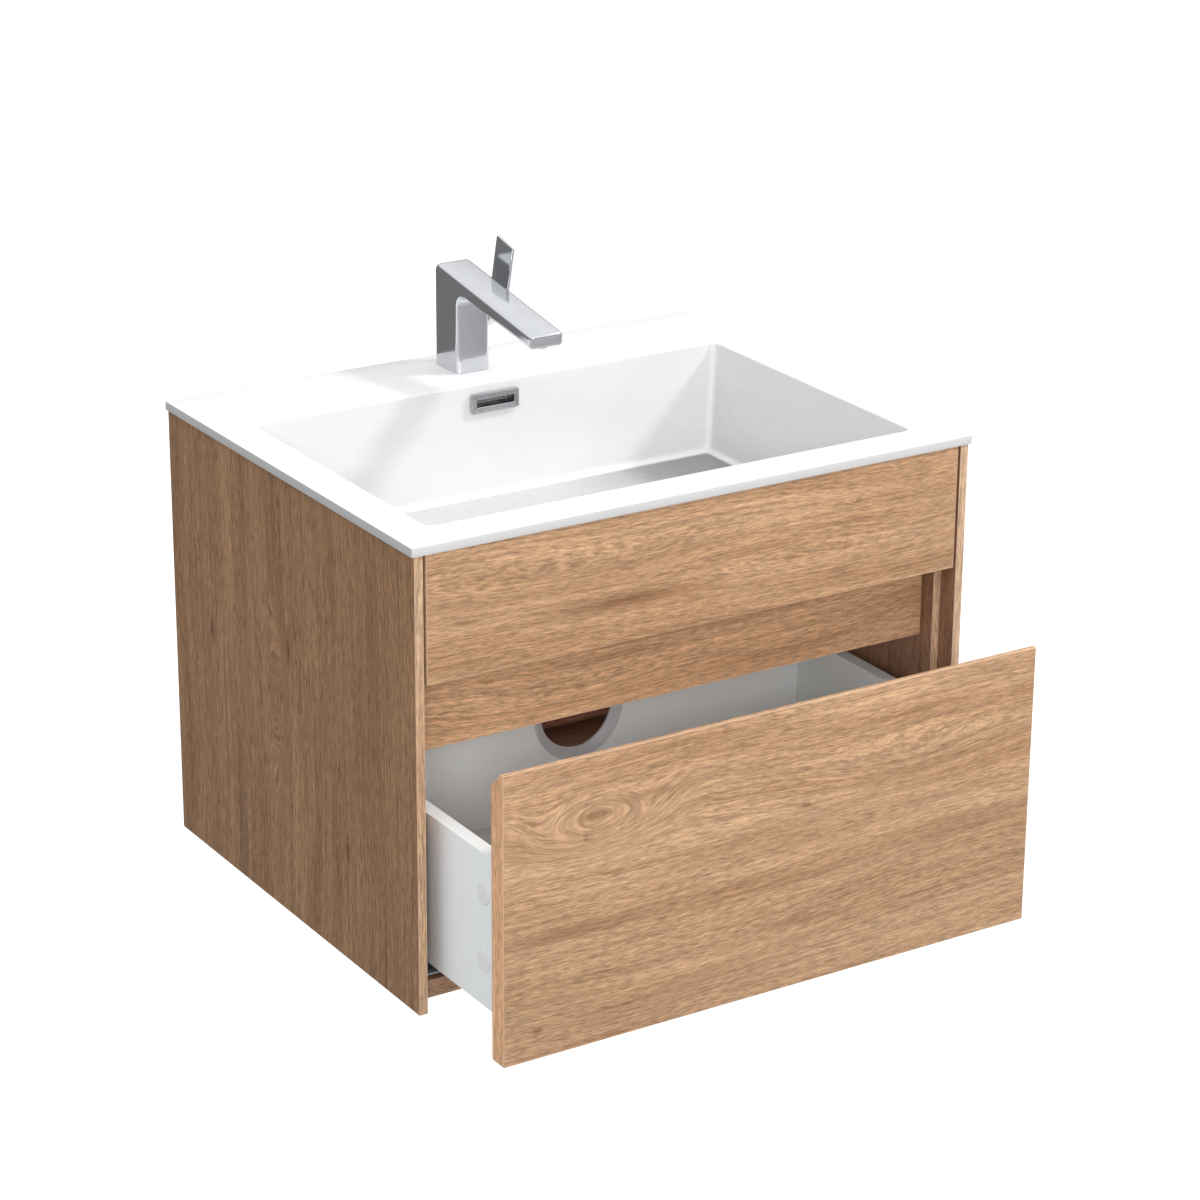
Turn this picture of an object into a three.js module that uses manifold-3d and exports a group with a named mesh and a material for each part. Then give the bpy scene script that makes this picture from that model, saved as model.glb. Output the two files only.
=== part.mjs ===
// Wall-hung bathroom vanity: a board carcass with an integral rectangular basin top, a
// single-hole side-lever mixer, and one pull-out drawer on undermount slides.
// Millimetres. X runs to the right, the front faces -Y, the wall is the plane Y = 0, Z is up.
// Heights below are counted from the bottom edge of the side panels; the finished object is
// lowered so that its origin is the centre of the hanging rail's back face, on the wall.
import * as THREE from 'three';
import { mergeVertices } from 'three/addons/utils/BufferGeometryUtils.js';
import Module from 'manifold-3d';

const wasm = await Module();
wasm.setup();

// Clearances between touching pieces.
const GAP = 0.3;
const TOUCH = 0.1;

// Worktop and basin.
const SLAB = { width: 600, depth: 481, top: 446.7, thickness: 9 };
const BOWL = { halfWidth: 260, backY: -108, frontY: -438, floorZ: 333, wall: 9, cornerR: 9, floorR: 8 };
const BOWL_DRAFT = { side: 10, back: 7 };
const OVERFLOW = { z: 428.3, width: 53, height: 19.5, proud: 4, wall: 1.4, clear: 2.1, edge: 0.6 };
const OVERFLOW_SLOT = { width: 42, height: 7.4, round: 0.8, room: 2, sleeve: 10 };
const DUCT = { halfWidth: 28, legHalfWidth: 20, depth: 12, bottomZ: 311, wall: 1.5, collarR: 32 };

// Carcass boards.
const SIDE = { outerX: 297, thickness: 9, depth: 479.4, height: 437.4 };
const CHEEK = { thickness: 8.5, frontY: -457.9 };
const FRONT = { halfWidth: 285.3, thickness: 20 };
const FASCIA = { bottom: 316.7, top: 437.4 };
const RECESS_RAIL = { frontY: -440, thickness: 18, bottom: 237.5, top: 320 };
const BASE = { bottom: 3.5, thickness: 17.5, frontY: -459 };
const BACK_RAIL = { thickness: 18, height: 100 };
const HANGING_RAIL = { bottom: 330, top: 430, notchX: 238, notchZ: 372 };
const SHEET = 2;

// Hanging gear. A hook reaches back over the lip of the plate that is screwed to the wall.
const HOOK = { x: [264, 269], armZ: [408, 416], fingerY: [-6.4, -3.4], lowZ: 391 };
const HANGER_BOX = { innerX: 261, y: [-62, -19], z: [376, 424] };
const WALL_PLATE = { innerX: 241, z: [377, 429], lipY: [-9.4, -7.4], lipZ: [385, 404] };
const FASCIA_LEGS = { x: 257, y: -425, z: [340, 420] };

// Drawer, given in its closed place. It stands open by DRAWER_OPEN.
const DRAWER_OPEN = 128;
const DRAWER_FRONT = { bottom: 2.7, top: 279.2, gripFlat: 5, gripDrop: 14.2 };
const DRAWER_BOX = { outerX: 273, side: 14, bottom: 36, top: 184, backY: -127, back: 15 };
const DRAWER_FLOOR = { bottom: 48.5, thickness: 8 };
const NOTCH = { centreZ: 158, outerR: 50, innerR: 40, backR: 46, lipDepth: 5, land: 1 };
const CAP = { radius: 9.9, thickness: 1.2, bevel: 0.5, y: -425.6, heights: { upper: 145.6, lower: 80.6 } };

// Slides: a fixed rail, a middle channel that travels half way, and a rail under the drawer.
const SLIDE = { frontY: -455, length: 350, bottom: 24, steel: 1.8 };
const FIXED_RAIL = { high: 52, ribHigh: 31, outerRib: [256.4, 258], innerRib: [238.4, 240] };
const MIDDLE_RAIL = { x: [241, 255.4], z: [26.4, 39.6], steel: 1.6, short: 5 };
const DRAWER_RAIL = { plateX: [237, 258.4], webX: [246.6, 249.4], footX: [244, 252], footZ: [28.8, 31] };
const DRAWER_RAIL_ENDS = { front: 2, back: 24 };
const CLIP = { x: [218, 236.6], y: [-457, -412], bottom: 34 };
const CLIP_POCKET = { x: [222, 232], y: [-458, -430], z: [33, 41] };

// Waste outlet, in the middle of the bowl's floor.
const WASTE = { y: -250, holeR: 23, bodyR: 22.5, boreR: 19, flangeR: 31, bottom: 262, travel: 6 };
const WASTE_RIM = { height: 2.5, edge: 1.3, flat: 2, mouth: 4.5, sink: 2 };
const WASTE_WINDOW = { halfWidth: 6, z: [314, 321] };
const WASTE_NUT = { radius: 34, height: 11, edge: 1 };
const WASTE_SEAL = 3;
const TAIL = { radius: 16.1, wall: 1.8, bottom: 200, top: 268, shoulder: 3 };
const GUIDE = { outerR: 7, innerR: 4.2, z: [298, 318], armHalfWidth: 1.2, armHeight: 6 };
const STOPPER = { stemR: 3.9, stemBottom: 300, sealOuterR: 18.4, sealInnerR: 16.6, sealHeight: 2.4 };

// Mixer. Its heights are counted from the top of the worktop.
const TAP = { width: 37, backY: -27, frontY: -72, topZ: 106, round: 1.5, topRound: 8 };
const SPOUT = { tipY: -211, tipTopZ: 74, tipLowY: -209.6, tipLowZ: 60, archZ: 81.3, archR: 11 };
const AERATOR = { y: -198, boreR: 7, bore: [50, 68], outerR: 6.6, innerR: 4.6, z: [58.4, 67.5] };
const GASKET = { thickness: 0.8, inset: 1, round: 2, boreR: 16.2 };
const DECK_HOLE = { y: -50, radius: 17.5 };
const FIXING = { studY: -61, studR: 4, inletX: 8.5, inletY: -45, inletR: 5.8, inletBore: 3.8 };
const STUD = { z: [-50, 19], socket: 20 };
const INLET = { z: [-32, 14], socket: 15 };
const CLAMP = { halfWidth: 25, y: [-74, -30], slotHalfWidth: 15.5, slotY: -53, rubber: 2, steel: 2.5 };
const MOUNTING_NUT = { radius: 8, height: 13, edge: 0.6, play: 0.2 };
const HUB = { y: -57, z: 54, cartridgeR: 12.5, collarR: 12.9, collarBore: 8.2, outX: 28, pivotX: 26 };
const CARTRIDGE = { x: [-8.3, 15], socketX: -8.6, boreR: 3.9, boreX: -2, nutBore: 8.6 };
const SPINDLE = { radius: 3.6, innerX: -1.7, short: 5 };
const LEVER = { lean: THREE.MathUtils.degToRad(13), halfWidth: 15.5, low: -11, high: 75.4 };
const LEVER_PLATE = { x: [34, 37], lowRound: 9, highRound: 1.2, edge: 0.5, ballR: 5, neckR: 4.4 };
const GRUB_SCREW = { radius: 2, holeR: 2.3, z: [-4.2, -1.7], holeZ: [-6, -1.4] };

const ORIGIN_Z = (HANGING_RAIL.bottom + HANGING_RAIL.top) / 2;
const SLAB_BOTTOM = SLAB.top - SLAB.thickness;
const CHEEK_X = SIDE.outerX - SIDE.thickness - CHEEK.thickness;
const FRONT_BACK_Y = -SIDE.depth + FRONT.thickness;
const SIDES = { left: -1, right: 1 };

const FINISH = {
  oakFront: { color: 0xcb9d6c, roughness: 0.55, metalness: 0 },
  oakSide: { color: 0xa97f57, roughness: 0.6, metalness: 0 },
  oakDark: { color: 0x6b4631, roughness: 0.65, metalness: 0 },
  whiteBoard: { color: 0xdcdddc, roughness: 0.5, metalness: 0 },
  solidSurface: { color: 0xf6f6f6, roughness: 0.25, metalness: 0 },
  chrome: { color: 0xc9ccd0, roughness: 0.08, metalness: 1 },
  zincSteel: { color: 0xa9adb0, roughness: 0.35, metalness: 1 },
  brass: { color: 0xb59a56, roughness: 0.35, metalness: 1 },
  rubber: { color: 0x1d1d1d, roughness: 0.8, metalness: 0 },
  whitePlastic: { color: 0xf0f0ee, roughness: 0.45, metalness: 0 },
  greyPlastic: { color: 0x55585b, roughness: 0.5, metalness: 0 },
};

// ---------------------------------------------------------------------------------------
// Geometry helpers.

/** The volume inside a triangle mesh, negative when its faces point inwards. */
function signedVolume(positions, triangles) {
  const [a, b, c] = [new THREE.Vector3(), new THREE.Vector3(), new THREE.Vector3()];
  let volume = 0;
  for (let i = 0; i < triangles.length; i += 3) {
    a.fromArray(positions, 3 * triangles[i]);
    b.fromArray(positions, 3 * triangles[i + 1]);
    c.fromArray(positions, 3 * triangles[i + 2]);
    volume += a.dot(b.cross(c)) / 6;
  }
  return volume;
}

/** Turns a closed geometry into a solid: vertices merged, flat triangles gone, faces out. */
function toSolid(geometry) {
  const bare = geometry.clone();
  bare.deleteAttribute('normal');
  bare.deleteAttribute('uv');
  const merged = mergeVertices(bare, 1e-4);
  const positions = merged.attributes.position.array;
  const triangles = [];
  for (let i = 0; i < merged.index.count; i += 3) {
    const [p, q, r] = merged.index.array.slice(i, i + 3);
    if (p !== q && q !== r && r !== p) triangles.push(p, q, r);
  }
  if (signedVolume(positions, triangles) < 0) triangles.reverse();
  return new wasm.Manifold(new wasm.Mesh({
    numProp: 3,
    vertProperties: new Float32Array(positions),
    triVerts: new Uint32Array(triangles),
  }));
}

/** Turns a solid back into a geometry. */
function toGeometry(solid) {
  const mesh = solid.getMesh();
  const geometry = new THREE.BufferGeometry();
  geometry.setAttribute('position', new THREE.BufferAttribute(mesh.vertProperties, 3));
  geometry.setIndex(new THREE.BufferAttribute(mesh.triVerts, 1));
  geometry.computeVertexNormals();
  return geometry;
}

/** The first geometry with the others taken away. */
function cut(base, ...tools) {
  return toGeometry(tools.reduce((solid, tool) => solid.subtract(toSolid(tool)), toSolid(base)));
}

/** All the geometries joined into one body. */
function join(base, ...others) {
  return toGeometry(others.reduce((solid, other) => solid.add(toSolid(other)), toSolid(base)));
}

/** A box given by its limits along X, Y and Z. */
function box(x, y, z) {
  const geometry = new THREE.BoxGeometry(x[1] - x[0], y[1] - y[0], z[1] - z[0]);
  return geometry.translate((x[0] + x[1]) / 2, (y[0] + y[1]) / 2, (z[0] + z[1]) / 2);
}

/** A closed outline through the given points. A third number rounds that corner. */
function outline(corners) {
  const shape = new THREE.Shape();
  const count = corners.length;
  corners.forEach(([u, v, radius = 0], i) => {
    const corner = new THREE.Vector2(u, v);
    const before = new THREE.Vector2(...corners[(i + count - 1) % count]).sub(corner).setLength(radius);
    const after = new THREE.Vector2(...corners[(i + 1) % count]).sub(corner).setLength(radius);
    const start = corner.clone().add(before);
    if (i === 0) shape.moveTo(start.x, start.y);
    else shape.lineTo(start.x, start.y);
    if (radius > 0) shape.quadraticCurveTo(u, v, u + after.x, v + after.y);
  });
  shape.closePath();
  return shape;
}

/** A rectangle with rounded corners, about a centre. */
function roundedRectangle(halfU, halfV, radius, u = 0, v = 0) {
  const shape = new THREE.Shape();
  const [du, dv] = [halfU - radius, halfV - radius];
  const quarter = Math.PI / 2;
  [[1, 1], [-1, 1], [-1, -1], [1, -1]].forEach(([su, sv], i) => {
    shape.absarc(u + su * du, v + sv * dv, radius, i * quarter, (i + 1) * quarter, false);
  });
  shape.closePath();
  return shape;
}

/** A regular hexagon about a centre, given by the distance to its corners. */
function hexagon(radius, u, v) {
  return outline([0, 1, 2, 3, 4, 5].map((i) => {
    const angle = (i * Math.PI) / 3;
    return [u + radius * Math.cos(angle), v + radius * Math.sin(angle)];
  }));
}

/** Extrudes an outline between two heights, with an optional rounded edge at both ends. */
function alongZ(shape, [low, high], { edge = 0, edgeSegments = 2, curveSegments = 6 } = {}) {
  const geometry = new THREE.ExtrudeGeometry(shape, {
    depth: high - low - 2 * edge,
    bevelEnabled: edge > 0,
    bevelThickness: edge,
    bevelSize: edge,
    bevelOffset: -edge,
    bevelSegments: edgeSegments,
    curveSegments,
  });
  return geometry.translate(0, 0, low + edge);
}

/** Extrudes an outline drawn in (Y, Z) between two X values. */
function alongX(shape, limits, options) {
  const axes = [new THREE.Vector3(0, 1, 0), new THREE.Vector3(0, 0, 1), new THREE.Vector3(1, 0, 0)];
  return alongZ(shape, limits, options).applyMatrix4(new THREE.Matrix4().makeBasis(...axes));
}

/** Extrudes an outline drawn in (X, Z) between two Y values. */
function alongY(shape, [low, high], options) {
  const axes = [new THREE.Vector3(1, 0, 0), new THREE.Vector3(0, 0, 1), new THREE.Vector3(0, -1, 0)];
  return alongZ(shape, [-high, -low], options).applyMatrix4(new THREE.Matrix4().makeBasis(...axes));
}

/** Turns a profile of (radius, height) points about the upright axis through (x, y). */
function turned(profile, x, y, segments = 32) {
  const points = profile.map(([radius, height]) => new THREE.Vector2(radius, height));
  return new THREE.LatheGeometry(points, segments).rotateX(Math.PI / 2).translate(x, y, 0);
}

/** Turns a profile of (radius, x) points about an axis along X through (y, z). */
function turnedAlongX(profile, y, z, segments = 28) {
  const points = profile.map(([radius, height]) => new THREE.Vector2(radius, height));
  return new THREE.LatheGeometry(points, segments).rotateZ(-Math.PI / 2).translate(0, y, z);
}

/** The closed profile of a plain rod. */
function rod(radius, [low, high]) {
  return [[0, low], [radius, low], [radius, high], [0, high]];
}

/** The closed profile of a tube. */
function tube(outer, inner, [low, high]) {
  return [[inner, low], [outer, low], [outer, high], [inner, high], [inner, low]];
}

/** Mirrors X limits given for the right-hand side onto either side. */
function onSide(side, [near, far]) {
  return side > 0 ? [near, far] : [-far, -near];
}

/** Mirrors the points of an (X, Z) outline given for the right-hand side onto either side. */
function mirrored(side, points) {
  return side > 0 ? points : points.map(([x, ...rest]) => [-x, ...rest]).reverse();
}

/** Adds one named sub-part with its own material to a group. */
function part(group, name, geometry, finish) {
  const mesh = new THREE.Mesh(geometry, new THREE.MeshStandardMaterial(finish));
  mesh.name = name;
  group.add(mesh);
}

// ---------------------------------------------------------------------------------------
// Carcass: outer panels, the inner cheeks that stop short to form the door rebate, rails.

function sidePanels(group) {
  for (const [name, side] of Object.entries(SIDES)) {
    const panelX = onSide(side, [SIDE.outerX - SIDE.thickness + TOUCH, SIDE.outerX]);
    const cheekX = onSide(side, [CHEEK_X, CHEEK_X + CHEEK.thickness]);
    part(group, `side_panel_${name}`, box(panelX, [-SIDE.depth, 0], [0, SIDE.height]), FINISH.oakSide);
    part(group, `inner_cheek_${name}`, box(cheekX, [CHEEK.frontY, 0], [0, SIDE.height]), FINISH.oakDark);
  }
}

function boards(group) {
  const inside = [-CHEEK_X + GAP, CHEEK_X - GAP];
  const baseTop = BASE.bottom + BASE.thickness;
  part(group, 'base_panel', box(inside, [BASE.frontY, 0], [BASE.bottom, baseTop]), FINISH.oakDark);
  part(group, 'lower_back_rail',
    box(inside, [-BACK_RAIL.thickness, 0], [baseTop + GAP, baseTop + BACK_RAIL.height]), FINISH.oakDark);
  part(group, 'recess_rail',
    box(inside, [RECESS_RAIL.frontY, RECESS_RAIL.frontY + RECESS_RAIL.thickness],
      [RECESS_RAIL.bottom, RECESS_RAIL.top]), FINISH.oakFront);
  part(group, 'upper_fascia',
    box([-FRONT.halfWidth, FRONT.halfWidth], [-SIDE.depth, FRONT_BACK_Y],
      [FASCIA.bottom, FASCIA.top]), FINISH.oakFront);
}

/** The top back rail, cut away at both upper corners where the hangers reach the wall. */
function hangingRail(group) {
  const { bottom, top, notchX, notchZ } = HANGING_RAIL;
  const end = CHEEK_X - GAP;
  const shape = outline([
    [-end, bottom], [end, bottom], [end, notchZ], [notchX, notchZ],
    [notchX, top], [-notchX, top], [-notchX, notchZ], [-end, notchZ],
  ]);
  part(group, 'hanging_rail', alongY(shape, [-BACK_RAIL.thickness, 0]), FINISH.oakDark);
}

/** Hanger boxes with their hooks, and the wall plates that the hooks drop behind. */
function hangers(group) {
  const outerX = CHEEK_X - GAP;
  const { lipY, lipZ, z } = WALL_PLATE;
  for (const [name, side] of Object.entries(SIDES)) {
    const hookX = onSide(side, HOOK.x);
    const shell = box(onSide(side, [HANGER_BOX.innerX, outerX]), HANGER_BOX.y, HANGER_BOX.z);
    const arm = box(hookX, [HANGER_BOX.y[1] - 1, HOOK.fingerY[1]], HOOK.armZ);
    const finger = box(hookX, HOOK.fingerY, [HOOK.lowZ, HOOK.armZ[1]]);
    part(group, `hanger_${name}`, join(shell, arm, finger), FINISH.zincSteel);
    const profile = outline([
      [0, z[0]], [0, z[1]], [-SHEET, z[1]], [-SHEET, lipZ[0] + SHEET],
      [lipY[1], lipZ[0] + SHEET], [lipY[1], lipZ[1]], [lipY[0], lipZ[1]], [lipY[0], lipZ[0]],
      [-SHEET, lipZ[0]], [-SHEET, z[0]],
    ]);
    const plateX = onSide(side, [WALL_PLATE.innerX, outerX]);
    part(group, `wall_plate_${name}`, alongX(profile, plateX), FINISH.zincSteel);
  }
}

/** Angle brackets that hold the fixed fascia to the cheeks. */
function fasciaBrackets(group) {
  const { x, y, z } = FASCIA_LEGS;
  const outerX = CHEEK_X - GAP;
  const backY = FRONT_BACK_Y + GAP;
  for (const [name, side] of Object.entries(SIDES)) {
    const shape = outline(mirrored(side, [
      [x, backY], [outerX, backY], [outerX, y], [outerX - SHEET, y],
      [outerX - SHEET, backY + SHEET], [x, backY + SHEET],
    ]));
    part(group, `fascia_bracket_${name}`, alongZ(shape, z), FINISH.zincSteel);
  }
}

// ---------------------------------------------------------------------------------------
// Worktop with its moulded bowl, the overflow and the waste.

/** A rounded block whose walls lean in towards the bottom, as a moulded bowl's do. */
function bowlBlock(grow, topZ) {
  const halfY = (BOWL.backY - BOWL.frontY) / 2;
  const centreY = (BOWL.backY + BOWL.frontY) / 2;
  const depth = SLAB.top - BOWL.floorZ;
  const shape = roundedRectangle(BOWL.halfWidth + grow, halfY + grow, BOWL.cornerR + grow, 0, centreY);
  const block = alongZ(shape, [BOWL.floorZ - grow, topZ], { edge: BOWL.floorR, edgeSegments: 3 });
  const place = block.attributes.position;
  for (let i = 0; i < place.count; i += 1) {
    const t = (SLAB.top - place.getZ(i)) / depth;
    place.setX(i, place.getX(i) * (1 - (t * BOWL_DRAFT.side) / BOWL.halfWidth));
    place.setY(i, centreY + (place.getY(i) - centreY) * (1 - (t * BOWL_DRAFT.back) / halfY));
  }
  return block;
}

function basinTop(group) {
  const above = SLAB.top + 3 * BOWL.floorR;
  const slab = box([-SLAB.width / 2, SLAB.width / 2], [-SLAB.depth, 0], [SLAB_BOTTOM, SLAB.top]);
  const over = box([-SLAB.width, SLAB.width], [-2 * SLAB.depth, SLAB.depth], [SLAB.top, 2 * above]);
  const { width, height, room } = OVERFLOW_SLOT;
  const slot = roundedRectangle(width / 2 + room, height / 2 + room, room, 0, OVERFLOW.z);
  const top = cut(
    join(slab, bowlBlock(BOWL.wall, above)),
    over,
    bowlBlock(0, above),
    turned(rod(DECK_HOLE.radius, [SLAB_BOTTOM - 1, SLAB.top + 1]), 0, DECK_HOLE.y),
    turned(rod(WASTE.holeR, [BOWL.floorZ - 2 * BOWL.wall, BOWL.floorZ + 1]), 0, WASTE.y),
    alongY(slot, [BOWL.backY - BOWL.wall, BOWL.backY + 2 * BOWL.wall]),
  );
  part(group, 'basin_top', top, FINISH.solidSurface);
}

/** The framed slot on the bowl's back wall, with the sleeve that passes through the wall. */
function overflowTrim(group) {
  const { width, height, z, proud, wall, clear, edge } = OVERFLOW;
  const faceY = BOWL.backY - clear;
  const halfU = OVERFLOW_SLOT.width / 2;
  const halfV = OVERFLOW_SLOT.height / 2;
  const rim = roundedRectangle(width / 2, height / 2, wall, 0, z);
  const frame = alongY(rim, [faceY - proud, faceY], { edge });
  const neck = roundedRectangle(halfU + wall, halfV + wall, wall, 0, z);
  const sleeve = alongY(neck, [faceY - 1, faceY + OVERFLOW_SLOT.sleeve]);
  const opening = roundedRectangle(halfU, halfV, OVERFLOW_SLOT.round, 0, z);
  const slot = alongY(opening, [faceY - 2 * proud, faceY + 2 * OVERFLOW_SLOT.sleeve]);
  part(group, 'overflow_trim', cut(join(frame, sleeve), slot), FINISH.chrome);
}

/** The hollow duct behind the bowl that leads the overflow down to a collar round the waste. */
function overflowDuct(group) {
  const { halfWidth, legHalfWidth, depth, bottomZ, wall, collarR } = DUCT;
  const frontY = BOWL.backY + BOWL.wall + GAP;
  const topZ = SLAB_BOTTOM - GAP;
  const legTop = BOWL.floorZ - BOWL.wall - GAP;
  const legY = [WASTE.y + legHalfWidth, frontY + depth / 2];
  const shell = join(
    box([-halfWidth, halfWidth], [frontY, frontY + depth], [bottomZ, topZ]),
    box([-legHalfWidth, legHalfWidth], legY, [bottomZ, legTop]),
    turned(rod(collarR, [bottomZ, legTop]), 0, WASTE.y),
  );
  const inner = [bottomZ + wall, legTop - wall];
  const insideX = [-halfWidth + wall, halfWidth - wall];
  const insideY = [frontY + wall, frontY + depth - wall];
  const { width, height } = OVERFLOW_SLOT;
  const slotZ = [OVERFLOW.z - height / 2, OVERFLOW.z + height / 2];
  const hollow = cut(
    shell,
    box(insideX, insideY, [inner[0], topZ - wall]),
    box([-legHalfWidth + wall, legHalfWidth - wall], [WASTE.y, legY[1]], inner),
    turned(rod(collarR - wall, inner), 0, WASTE.y),
    turned(rod(WASTE.holeR, [bottomZ - 1, legTop + 1]), 0, WASTE.y),
    box([-width / 2, width / 2], [frontY - 1, frontY + 2 * wall], slotZ),
  );
  part(group, 'overflow_duct', hollow, FINISH.whitePlastic);
}

function waste(group) {
  const { y, bodyR, boreR, flangeR, bottom, holeR } = WASTE;
  const seat = BOWL.floorZ + GAP;
  const rim = seat + WASTE_RIM.height;
  const socketR = TAIL.radius + GAP;
  const socketTop = TAIL.top + 1;
  const body = turned([
    [socketR, bottom], [bodyR, bottom], [bodyR, seat], [flangeR, seat], [flangeR, seat + WASTE_RIM.edge],
    [flangeR - WASTE_RIM.flat, rim], [boreR + WASTE_RIM.mouth, rim], [boreR, seat - WASTE_RIM.sink],
    [boreR, socketTop + TAIL.shoulder], [socketR, socketTop], [socketR, bottom],
  ], 0, y);
  const { halfWidth } = WASTE_WINDOW;
  const window = box([-halfWidth, halfWidth], [y - 2 * bodyR, y + 2 * bodyR], WASTE_WINDOW.z);
  part(group, 'waste_body', cut(body, window), FINISH.chrome);

  const sealTop = DUCT.bottomZ - GAP;
  const sealLow = sealTop - WASTE_SEAL;
  part(group, 'waste_seal', turned(tube(flangeR, holeR, [sealLow, sealTop]), 0, y), FINISH.rubber);
  const nutTop = sealLow - GAP;
  const nutLow = nutTop - WASTE_NUT.height;
  const block = alongZ(hexagon(WASTE_NUT.radius, 0, y), [nutLow, nutTop], { edge: WASTE_NUT.edge });
  const bore = turned(rod(holeR - GAP / 2, [nutLow - 1, nutTop + 1]), 0, y);
  part(group, 'waste_locknut', cut(block, bore), FINISH.brass);
  const tail = turned(tube(TAIL.radius, TAIL.radius - TAIL.wall, [TAIL.bottom, TAIL.top]), 0, y);
  part(group, 'waste_tailpiece', tail, FINISH.chrome);

  const { outerR, innerR, z, armHalfWidth, armHeight } = GUIDE;
  const hub = turned(tube(outerR, innerR, z), 0, y, 20);
  const armX = [(outerR + innerR) / 2, boreR - GAP];
  const arms = [0, 1, 2].map((i) => {
    const arm = box(armX, [-armHalfWidth, armHalfWidth], [z[0], z[0] + armHeight]);
    return arm.rotateZ((i * 2 * Math.PI) / 3 + Math.PI / 6).translate(0, y, 0);
  });
  part(group, 'stopper_guide', join(hub, ...arms), FINISH.greyPlastic);
}

/** The push-to-close cap on its stem, drawn raised, with its seal ring. */
function wasteStopper(group) {
  const { stemR, stemBottom, sealOuterR, sealInnerR, sealHeight } = STOPPER;
  const capZ = BOWL.floorZ + WASTE_RIM.height + 2 * GAP + WASTE.travel;
  const cap = turned([
    [0, stemBottom], [stemR, stemBottom], [stemR, capZ], [26, capZ], [27, capZ + 1.2],
    [26.2, capZ + 3.2], [18, capZ + 5], [9, capZ + 6], [0, capZ + 6.3],
  ], 0, WASTE.y);
  part(group, 'waste_stopper', cap, FINISH.chrome);
  const seal = turned(tube(sealOuterR, sealInnerR, [capZ - sealHeight, capZ - TOUCH]), 0, WASTE.y, 24);
  part(group, 'stopper_seal', seal, FINISH.rubber);
}

// ---------------------------------------------------------------------------------------
// Mixer: column and spout in one casting, side cartridge, lever, and its deck fixings.

function mixerBody(group) {
  const half = TAP.width / 2;
  const base = GASKET.thickness + GAP;
  const profile = outline([
    [TAP.frontY, base], [TAP.backY, base], [TAP.backY, TAP.topZ, TAP.topRound],
    [SPOUT.tipY, SPOUT.tipTopZ, 2 * TAP.round], [SPOUT.tipLowY, SPOUT.tipLowZ, 2 * TAP.round],
    [TAP.frontY, SPOUT.archZ, SPOUT.archR],
  ]);
  const inlets = [-1, 1].map((side) => {
    return turned(rod(FIXING.inletR + GAP, [0, INLET.socket]), side * FIXING.inletX, FIXING.inletY, 20);
  });
  const body = cut(
    alongX(profile, [-half, half], { edge: TAP.round, edgeSegments: 3 }),
    turnedAlongX(rod(HUB.cartridgeR + GAP, [CARTRIDGE.socketX, half + 1]), HUB.y, HUB.z),
    turned(rod(FIXING.studR + GAP, [0, STUD.socket]), 0, FIXING.studY, 20),
    turned(rod(AERATOR.boreR, AERATOR.bore), 0, AERATOR.y, 24),
    ...inlets,
  );
  part(group, 'mixer_body', body, FINISH.chrome);
  const ring = turned(tube(AERATOR.outerR, AERATOR.innerR, AERATOR.z), 0, AERATOR.y, 24);
  part(group, 'aerator', ring, FINISH.chrome);
}

/** Base gasket, stud, clamp plate with its gasket, nut and the two hose inlets. */
function mixerFixings(group) {
  const { inset, round, thickness, boreR } = GASKET;
  const { studY, studR, inletX, inletY, inletR, inletBore } = FIXING;
  const halfX = TAP.width / 2 - inset;
  const halfY = (TAP.backY - TAP.frontY) / 2 - inset;
  const foot = roundedRectangle(halfX, halfY, round, 0, (TAP.backY + TAP.frontY) / 2);
  const opening = turned(rod(boreR, [-1, 2 * thickness]), 0, DECK_HOLE.y, 24);
  part(group, 'mixer_gasket', cut(alongZ(foot, [TOUCH, thickness]), opening), FINISH.rubber);
  part(group, 'mounting_stud', turned(rod(studR, STUD.z), 0, studY, 20), FINISH.zincSteel);

  const { halfWidth, y, slotHalfWidth, slotY, rubber, steel } = CLAMP;
  const clampShape = outline([
    [-halfWidth, y[0], 4], [halfWidth, y[0], 4], [halfWidth, y[1], 2], [slotHalfWidth, y[1]],
    [slotHalfWidth, slotY, 5], [-slotHalfWidth, slotY, 5], [-slotHalfWidth, y[1]], [-halfWidth, y[1], 2],
  ]);
  const clampHole = turned(rod(studR + GAP, [-2 * SLAB.thickness, 0]), 0, studY, 20);
  const gasketTop = -SLAB.thickness - GAP;
  const gasket = alongZ(clampShape, [gasketTop - rubber, gasketTop]);
  part(group, 'clamp_gasket', cut(gasket, clampHole), FINISH.rubber);
  const plateTop = gasketTop - rubber - GAP;
  const plate = alongZ(clampShape, [plateTop - steel, plateTop]);
  part(group, 'clamp_plate', cut(plate, clampHole), FINISH.zincSteel);
  const nutTop = plateTop - steel - GAP;
  const nutLow = nutTop - MOUNTING_NUT.height;
  const { radius, edge, play } = MOUNTING_NUT;
  const block = alongZ(hexagon(radius, 0, studY), [nutLow, nutTop], { edge });
  const bore = turned(rod(studR + play, [nutLow - 1, nutTop + 1]), 0, studY, 20);
  part(group, 'mounting_nut', cut(block, bore), FINISH.brass);
  for (const [name, side] of [['hot', -1], ['cold', 1]]) {
    const inlet = turned(tube(inletR, inletBore, INLET.z), side * inletX, inletY, 20);
    part(group, `inlet_${name}`, inlet, FINISH.brass);
  }
}

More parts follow.
